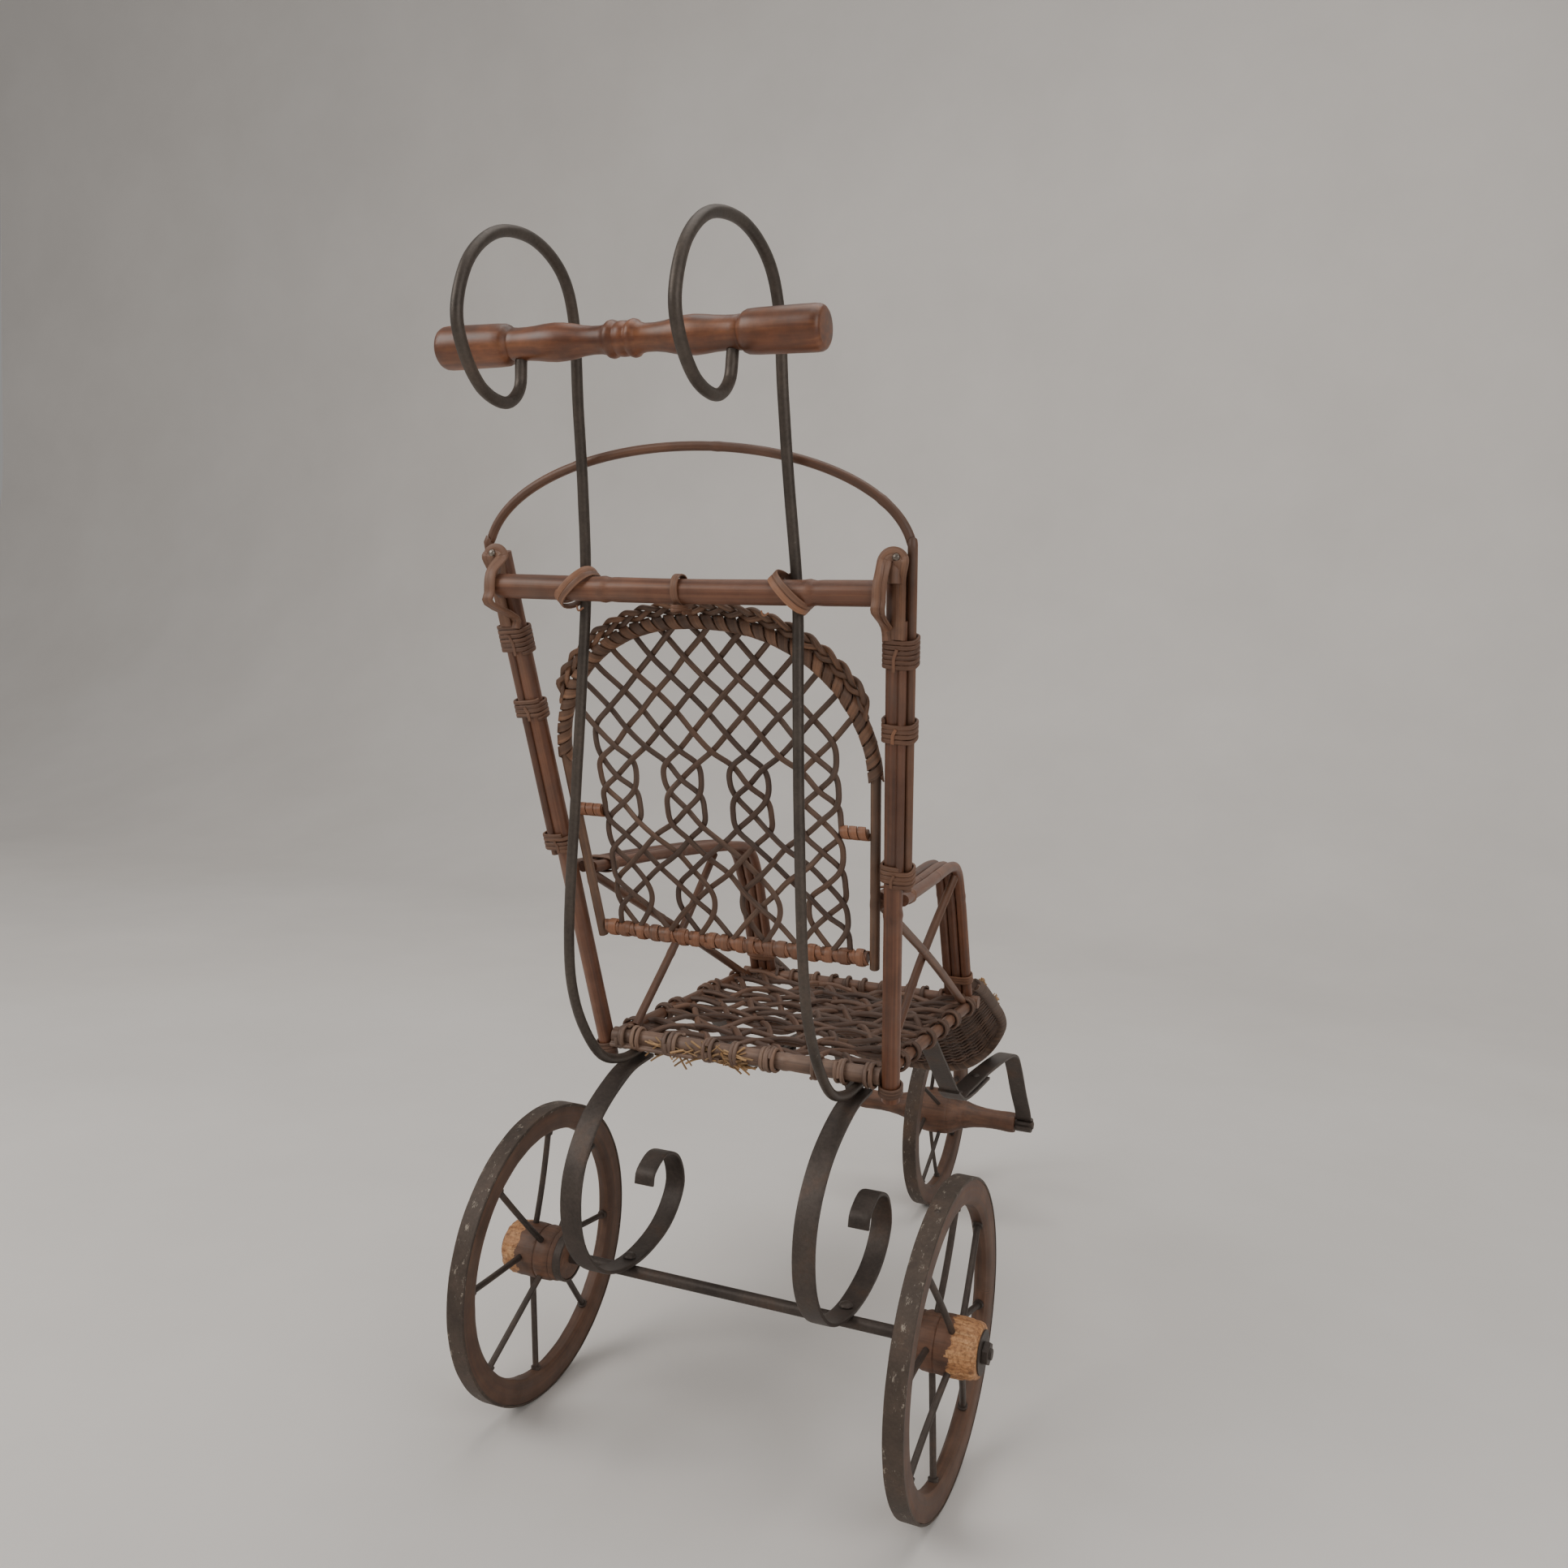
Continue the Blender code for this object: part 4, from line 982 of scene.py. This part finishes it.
def turn_back(column, row, inward):
    """The bulge of a strand that turns back beside a gap."""
    x = (column - inward * 0.86) * CELL
    if abs(column) >= 8:
        x = column / abs(column) * 7.12 * CELL
    return panel(x, ROW_Z[row], 0.0)


def follow(column, heading, rows):
    """A strand's points along the rows, turning back where a crossing is missing."""
    points = []
    for row in rows:
        column += heading
        if row % 2 == 0 and missing(column, row):
            heading = -heading
            points.append(turn_back(column, row, -heading))
        else:
            sign = heading if row % 4 in (0, 1) else -heading
            points.append(lattice_place(column, row, sign))
            if row > 0 and outside_arch(points[-1]):
                break
    return points


def outside_arch(point):
    rise = ARCH_TOP_Z - ARCH_SPRING_Z
    half = post_at(ARCH_SPRING_Z).x - POST_R - ARCH_R - LEG_ROOM
    if point.z < ARCH_SPRING_Z:
        return abs(point.x) > half
    return (point.x / half) ** 2 + ((point.z - ARCH_SPRING_Z) / rise) ** 2 > 0.985


def build_lattice():
    """Sixteen canes cross as diamonds and part into four chains of loops below."""
    part = Strands()
    for column in (-7, -5, -3, -1, 1, 3, 5, 7):
        for heading in (-1, 1):
            middle_point = lattice_place(column, -1, heading)
            down = follow(column, heading, range(-2, -13, -1))
            up = follow(column, -heading, range(0, 9))
            if len(up) > 1 and outside_arch(up[-1]):
                up[-1] = up[-2].lerp(up[-1], arch_share(up[-2], up[-1]))
            path = smooth_path(list(reversed(up)) + [middle_point] + down, 5)
            part.add(path, 0.0041, 0.0032, [PANEL_NORMAL] * len(path), 10)
    part.build("back_lattice_canes", WICKER, "root", ["back_lattice"])


def arch_share(inside, outside):
    """How far along the last leg a strand meets the arch."""
    for step in range(1, 21):
        if outside_arch(inside.lerp(outside, step / 20)):
            return step / 20
    return 1.0


def build_lower_rail():
    part = Strands()
    low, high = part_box("back_lower_rail")
    path = smooth_path(across_box("back_lower_rail", 0.0016), 20)
    cane(part, path, 0.0044, (), 0.0, 14)
    wound(part, path, 0.0046, 0.0125, 0.0046, 0.0010, 2, (0.7, 0.3), 16)
    part.build("back_lower_rail_core", FLAT_CANE, "root", ["back_lower_rail"])
    wraps = Strands()
    count = 18
    for index in range(count):
        share = (index + 0.5 + 0.25 * (RNG.random() - 0.5)) / count
        sag = 0.0016 * sin(pi * share)
        centre = Vector((low.x + (high.x - low.x) * share, LOWER_RAIL.y, LOWER_RAIL.z - sag))
        tilt = Vector((1, 0, 0.50 * (RNG.random() - 0.75))).normalized()
        loops(wraps, centre, tilt, Vector((0, 0.0051, 0)), Vector((0, 0, 0.0054)), 1.04, 0.0030,
              0.0054 + 0.0012 * RNG.random(), 0.0011, 0.15 + 0.85 * RNG.random(), 0.9, 0.75)
    wraps.build("back_lower_rail_loops", FLAT_CANE, "root", ())
    for side in ("left", "right"):
        node = "back_strut_" + side
        part = Strands()
        path = across_box(node)
        part.add(path, 0.0066, sides=12, tone=0.2)
        wound(part, path, 0.0040, 0.0062, 0.0056, 0.0013, 1, (0.8,), 16)
        part.build(node + "_wrap", FLAT_CANE, "root", [node])


# ---- seat

def build_seat_rails():
    rear = Strands()
    ends = across_box("seat_rear_rail")
    cane(rear, smooth_path(ends, 16), 0.0062, (0.36, 0.66), 0.6, 24)
    for index in range(2):
        drop = Vector((0, -0.0050 - 0.0012 * index, -0.0046 - 0.0022 * index))
        rise = Vector((0, 0, 0.0012 * index))
        start, end = (point + drop + rise for point in ends[:2])
        cane(rear, [start, start.lerp(end, 0.45), start.lerp(end, 0.85 - 0.2 * index)], 0.0017, (), 0.5, 10)
    rear.build("seat_rear_rail_canes", RAIL_CANE, "root", ["seat_rear_rail"])
    front = Strands()
    cane(front, smooth_path(across_box("seat_front_rail"), 16), 0.0052, (0.3, 0.7), 0.4, 16)
    front.build("seat_front_rail_cane", CANE, "root", ["seat_front_rail"])
    for side, mirror in SIDES:
        part = Strands()
        node = "seat_" + side + "_rail"
        low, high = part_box(node)
        path = [Vector((mirror * SEAT_SIDE_X, y, SEAT_REAR.z)) for y in (low.y, (low.y + high.y) / 2, high.y)]
        cane(part, smooth_path(path, 12), 0.0046, (0.4,), 0.4, 14)
        part.build(node + "_cane", CANE, "root", [node])


def tie_loops(part, rear_ties):
    """Loops of cane round the seat's four rails, in uneven groups."""
    y_axis = Vector((0, 1, 0))
    for share in (0.03, 0.085, 0.21, 0.235, 0.37, 0.47, 0.585, 0.61, 0.77, 0.86, 0.965):
        x = SEAT_SIDE_X * (2 * share - 1)
        lean = 1.1 * (RNG.random() - 0.5)
        for turn in range(2):
            centre = SEAT_REAR + Vector((x + 0.0032 * turn, -0.0008, 0.0))
            tilt = Vector((1, 0.2 * (RNG.random() - 0.5), lean + 0.3 * (RNG.random() - 0.5))).normalized()
            loops(rear_ties, centre, tilt, Vector((0, 0.0079, 0)), Vector((0, 0, 0.0078)), 1.12, 0.0034,
                  0.0032, 0.0026, 0.3 + 0.7 * RNG.random(), 0.95, 0.9)
    rear = SEAT_REAR.y + 0.014
    front = SEAT_FRONT.y - 0.012
    for mirror in (-1, 1):
        for step in range(6):
            y = rear + (front - rear) * (step + 0.2 + 0.6 * RNG.random()) / 6
            for turn in range(2):
                tilt = (y_axis + Vector((0, 0, 1.0 * (RNG.random() - 0.5)))).normalized()
                loops(part, Vector((mirror * SEAT_SIDE_X, y + 0.0036 * turn, SEAT_REAR.z)), tilt,
                      Vector((0.0064, 0, 0)), Vector((0, 0, 0.0066)), 1.1, 0.0030, 0.0034, 0.0026,
                      0.2 + 0.8 * RNG.random(), 0.95, 0.9)
        place, axis, across, deep = post_frame(POST_FOOT.z + 0.009, mirror)
        girth = POST_R + 0.0013
        loops(part, place, axis, across * girth, deep * girth, 3, 0.0070, 0.0026, 0.0020, 0.6, 0.9)
    for step in range(12):
        x = SEAT_SIDE_X * (2 * (step + 0.3 + 0.4 * RNG.random()) / 12 - 1)
        loops(part, SEAT_FRONT + Vector((x, 0, 0)), Vector((1, 0, 0.3)).normalized(), Vector((0, 0.0068, 0)),
              Vector((0, 0, 0.0070)), 1.2, 0.0030, 0.0034, 0.0024, RNG.random(), 0.95, 0.9)


WEFTS = 17
SLANTS = 8                     # strands slanting each way
SEAT_TOP = SEAT_REAR.z + 0.0012
SEAT_REACH = SEAT_SIDE_X - 0.002
SEAT_SAG = 0.004
WEAVE_REAR = SEAT_REAR.y + 0.004
WEAVE_FRONT = SEAT_FRONT.y - 0.004


def weave_across(part):
    for index in range(WEFTS):
        y = WEAVE_REAR + (WEAVE_FRONT - WEAVE_REAR) * (index + 0.5) / WEFTS
        drift = 0.034 * (RNG.random() - 0.5)
        phase = index * pi + RNG.random() * 0.8
        arc = 0.016 * (RNG.random() - 0.35)
        points = []
        for step in range(23):
            share = step / 22
            bow = arc * sin(pi * share) + 0.004 * smooth_noise(share * 4.0, index * 1.7, 2.0)
            lift = 0.0026 * sin(pi * share * 6 + phase)
            spot = min(max(y + drift * (share - 0.5) + bow, WEAVE_REAR), WEAVE_FRONT)
            points.append(Vector((SEAT_REACH * (2 * share - 1), spot,
                                  SEAT_TOP + lift - SEAT_SAG * sin(pi * share))))
        part.add(smooth_path(points, 2), 0.0056, 0.0044, sides=10)


def weave_along(part):
    """Strands that slant from the rear to the front, left and right in turn."""
    for index in range(SLANTS):
        for lean in (-1, 1):
            start = SEAT_REACH * (2.3 * (index + 0.5) / SLANTS - 1.15)
            skew = lean * (0.13 + 0.03 * RNG.random())
            points = []
            for step in range(25):
                share = step / 24
                x = start + skew * (share - 0.5) + 0.004 * smooth_noise(share * 5, index * 3.1, lean)
                if abs(x) > SEAT_REACH:
                    continue
                y = WEAVE_REAR + (WEAVE_FRONT - WEAVE_REAR) * share
                lift = 0.0030 * sin(pi * share * WEFTS / 2 + index * pi + lean)
                sag = SEAT_SAG * sin(pi * (x / SEAT_REACH + 1) / 2)
                points.append(Vector((x, y, SEAT_TOP + lift - sag)))
            if len(points) > 4:
                part.add(smooth_path(points, 2), 0.0051, 0.0040, sides=10)


def build_seat():
    part = Strands()
    weave_across(part)
    weave_along(part)
    rear_ties = Strands()
    tie_loops(part, rear_ties)
    part.build("seat_weave_strands", SEAT_WICKER, "root", ["seat_weave"])
    rear_ties.build("seat_rear_rail_loops", RAIL_CANE, "root", ())


def build_straw():
    """Broken wisps: under the rear rail, mostly on its left half, and at the footrest's right edge."""
    straw = Strands()
    for index in range(72):
        x = SEAT_SIDE_X * (2 * (0.20 + 0.34 * RNG.random() ** 1.3) - 1)
        turn = radians(RNG.uniform(165, 270))
        stride = RNG.choice((-1, 1)) * RNG.uniform(0.0012, 0.0048)
        roll = radians(RNG.uniform(-14, 26))
        stand = RNG.uniform(0.0, 0.0011)
        droop = RNG.uniform(0.0001, 0.0005) if index % 3 == 0 else 0.0
        path = []
        for step in range(5):
            hug = 0.0067 + stand * step
            angle = turn + roll * step
            path.append(SEAT_REAR + Vector((x + stride * step, hug * cos(angle),
                                            hug * sin(angle) - droop * step * step)))
        straw.add(smooth_path(path, 2), 0.0009 + 0.0010 * RNG.random(), sides=5)
    for _ in range(46):
        x, t = RNG.choice(((FOOT_HALF, 0.10), (FOOT_HALF, 0.16), (FOOT_HALF, 0.50), (FOOT_HALF, 0.56)))
        path = [foot_point(x + 0.003 * RNG.random(), t + 0.05 * RNG.random(), 0.0042)]
        for _ in range(3):
            path.append(path[-1] + Vector((0.002 * (RNG.random() - 0.3), 0.003 * (RNG.random() - 0.5),
                                           -0.0026 * RNG.random())))
        straw.add(smooth_path(path, 2), 0.0011, sides=5)
    straw.build("broken_straw_wisps", STRAW, "root", ())


# ---- arms

def build_arms():
    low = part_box("armrest_right")[0]
    route = [(0.1165, low.y - AXLE.y, 0.4185), (0.1080, 0.0600, 0.4180), (0.0950, 0.1550, 0.4150),
             (0.0915, 0.1900, 0.4080), (0.0905, 0.2080, 0.3860), (0.0905, 0.2240, 0.3500),
             (0.0905, 0.2475, low.z)]
    for side, mirror in SIDES:
        part = Strands()
        path = smooth_path([at(mirror * x, y, z) for x, y, z in route], 8)
        for index in (-1, 0, 1):
            lane = [point + Vector((index * 0.0080, 0, 0.0004 * index * index)) for point in path]
            cane(part, lane, 0.0041, (0.24 + 0.09 * index, 0.72), 0.45 + 0.2 * index, 14)
        part.build("armrest_" + side + "_canes", BAMBOO, "root", ["armrest_" + side])

        ties = Strands()
        for x, y, z, reach in ((0.0905, 0.2410, 0.3100, 0.0130), (0.1130, -0.0090, 0.4186, 0.0132)):
            lean = Vector((0, 0.5, -1)).normalized() if z < 0.4 else Vector((0, 1, 0))
            depth = lean.cross(Vector((1, 0, 0))) * 0.0052
            loops(ties, at(mirror * x, y, z), lean, Vector((reach, 0, 0)), depth, 3, 0.0075, 0.0028, 0.0012,
                  None, 0.6)
        ties.build("armrest_" + side + "_ties", BINDING, "root", ())

        brace = Strands()
        long = [at(mirror * 0.1096, -0.0300, 0.4153), at(mirror * 0.1064, 0.106, 0.3520),
                at(mirror * 0.1005, 0.2262, 0.2925)]
        cross = [at(mirror * 0.1045, 0.1650, 0.4060), at(mirror * 0.1002, 0.100, 0.3520),
                 at(mirror * 0.1000, 0.0275, 0.2910)]
        cane(brace, smooth_path(long, 12), 0.0033, (0.42,), 0.5, 14)
        cane(brace, smooth_path(cross, 12), 0.0033, (0.6,), 0.35, 14)
        brace.build("side_brace_" + side + "_canes", CANE, "root", ["side_brace_" + side])


# ---- footrest

FOOT_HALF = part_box("footrest_border")[1].x - 0.0050
FOOT_TOP_Y = 0.261
FOOT_ROWS = 46
FOOT_RIBS = 21


def foot_point(x, t, lift=0.0):
    rise = (0.012 + 0.034 * sqrt(max(t, 0.0))) * (abs(x) / FOOT_HALF) ** 4
    return at(x, FOOT_TOP_Y + 0.130 * t + 0.60 * lift, 0.285 - 0.098 * t + rise + 0.80 * lift)


def build_footrest():
    part = Strands()
    for row in range(FOOT_ROWS):
        t = 0.012 + 0.985 * row / (FOOT_ROWS - 1)
        half = FOOT_HALF - 0.002
        points = []
        for step in range(41):
            x = half * (2 * step / 40 - 1)
            ripple = 0.0013 * cos(pi * step / 2 + row * pi)
            wave = 0.004 * smooth_noise(step * 0.09, row * 0.05, 4.0)
            fit = t * (0.985 - 0.08 * (abs(x) / half) ** 6)
            points.append(foot_point(x, fit, ripple + wave * 0.4))
        part.add(points, 0.0031, 0.0028, sides=6)
    for rib in range(FOOT_RIBS):
        x = (FOOT_HALF - 0.004) * (2 * rib / (FOOT_RIBS - 1) - 1)
        part.add([foot_point(x, 0.96 * k / 16) for k in range(17)], 0.0024, sides=6, tone=0.2)
    part.build("footrest_rows", WICKER, "root", ["footrest"])

    border = Strands()
    edge = [foot_point(FOOT_HALF, t) for t in (0.03, 0.2, 0.4, 0.6, 0.8)]
    edge += [foot_point(FOOT_HALF * k, 1.03 - 0.12 * k ** 8) for k in (0.97, 0.85, 0.68, 0.5, 0.25)]
    path = smooth_path(edge + [foot_point(0, 1.03)] + [flip(point, -1) for point in reversed(edge)], 5)
    border.add(evenly(path, 0.003), 0.0066, sides=12, tone=0.1)
    wound(border, path, 0.0042, 0.0150, 0.0042, 0.0022, 4, (0.2, 0.6, 0.35, 0.9), 16)
    border.build("footrest_border_rolls", FOOT_WICKER, "root", ["footrest_border"])


# ---- stage, light and camera

def build_stage():
    """Pale floor that sweeps up into a wall behind the stroller."""
    m = Nodes("studio_plaster")
    place = m.add("ShaderNodeTexCoord").outputs["Object"]
    tint = m.ramp(m.noise(place, 2.5, 6.0, 0.6), [(0.3, (0.70, 0.67, 0.64)), (0.7, (0.76, 0.73, 0.70))])
    m.bump(m.noise(place, 60.0, 5.0, 0.6), 0.05, 0.002)
    plaster = m.finish(tint, 0.9)
    section = [(-2.6, 0.0), (1.6, 0.0)]
    section += [(1.6 + 1.2 * sin(pi / 2 * k / 16), 1.2 - 1.2 * cos(pi / 2 * k / 16)) for k in range(1, 17)]
    section += [(2.8, 4.0)]
    points = [(x, y, z) for y, z in section for x in (-4.5, 4.5)]
    faces = [(2 * k, 2 * k + 1, 2 * k + 3, 2 * k + 2) for k in range(len(section) - 1)]
    mesh = bpy.data.meshes.new("studio_floor")
    mesh.from_pydata(points, [], faces)
    mesh.shade_smooth()
    mesh.materials.append(plaster)
    floor = bpy.data.objects.new("studio_floor", mesh)
    bpy.context.scene.collection.objects.link(floor)


def soft_light(name, place, target, width, height, power, colour):
    light = bpy.data.lights.new(name, "AREA")
    light.shape = "RECTANGLE"
    light.size = width
    light.size_y = height
    light.energy = power
    light.color = colour
    item = bpy.data.objects.new(name, light)
    item.location = place
    item.rotation_euler = (Vector(target) - Vector(place)).to_track_quat("-Z", "Y").to_euler()
    bpy.context.scene.collection.objects.link(item)


def build_lights():
    soft_light("window_light", (-1.8, -1.9, 2.1), (0, 0, 0.4), 2.0, 1.6, 46, (1.0, 0.97, 0.93))
    soft_light("fill_light", (2.2, -1.5, 1.4), (0, 0, 0.4), 1.8, 1.8, 24, (1.0, 0.98, 0.96))
    soft_light("top_light", (0.2, 0.3, 3.0), (0, 0.2, 0.3), 2.4, 2.4, 34, (1.0, 0.98, 0.95))
    world = bpy.data.worlds.new("soft_room")
    world.use_nodes = True
    world.node_tree.nodes["Background"].inputs["Color"].default_value = (0.80, 0.78, 0.76, 1.0)
    world.node_tree.nodes["Background"].inputs["Strength"].default_value = 0.35
    bpy.context.scene.world = world


CAMERA_PLACE = (0.3982, -0.8963, 0.5761)      # beside, behind and above the middle of the rear axle
CAMERA_RIGHT = (0.9212, 0.3870, 0.0392)
CAMERA_AHEAD = (-0.3824, 0.9194, -0.0922)


def build_camera():
    data = bpy.data.cameras.new("camera")
    data.lens = 32.258
    data.sensor_width = 36.0
    item = bpy.data.objects.new("camera", data)
    right = Vector(CAMERA_RIGHT).normalized()
    ahead = Vector(CAMERA_AHEAD).normalized()
    up = right.cross(ahead).normalized()
    turn = Matrix((right, up, -ahead)).transposed()
    item.matrix_world = Matrix.Translation(at(*CAMERA_PLACE)) @ turn.to_4x4()
    bpy.context.scene.collection.objects.link(item)
    bpy.context.scene.camera = item


build_wheels()
bar("rear_axle_bar", "rear_axle", 0.0012)
bar("front_axle_bar", "front_axle", 0.0012)
build_springs()
build_front_straps()
build_handle()
build_posts()
build_hoop()
build_top_rail()
build_arch()
build_lattice()
build_lower_rail()
build_seat_rails()
build_seat()
build_straw()
build_arms()
build_footrest()
build_stage()
build_lights()
build_camera()
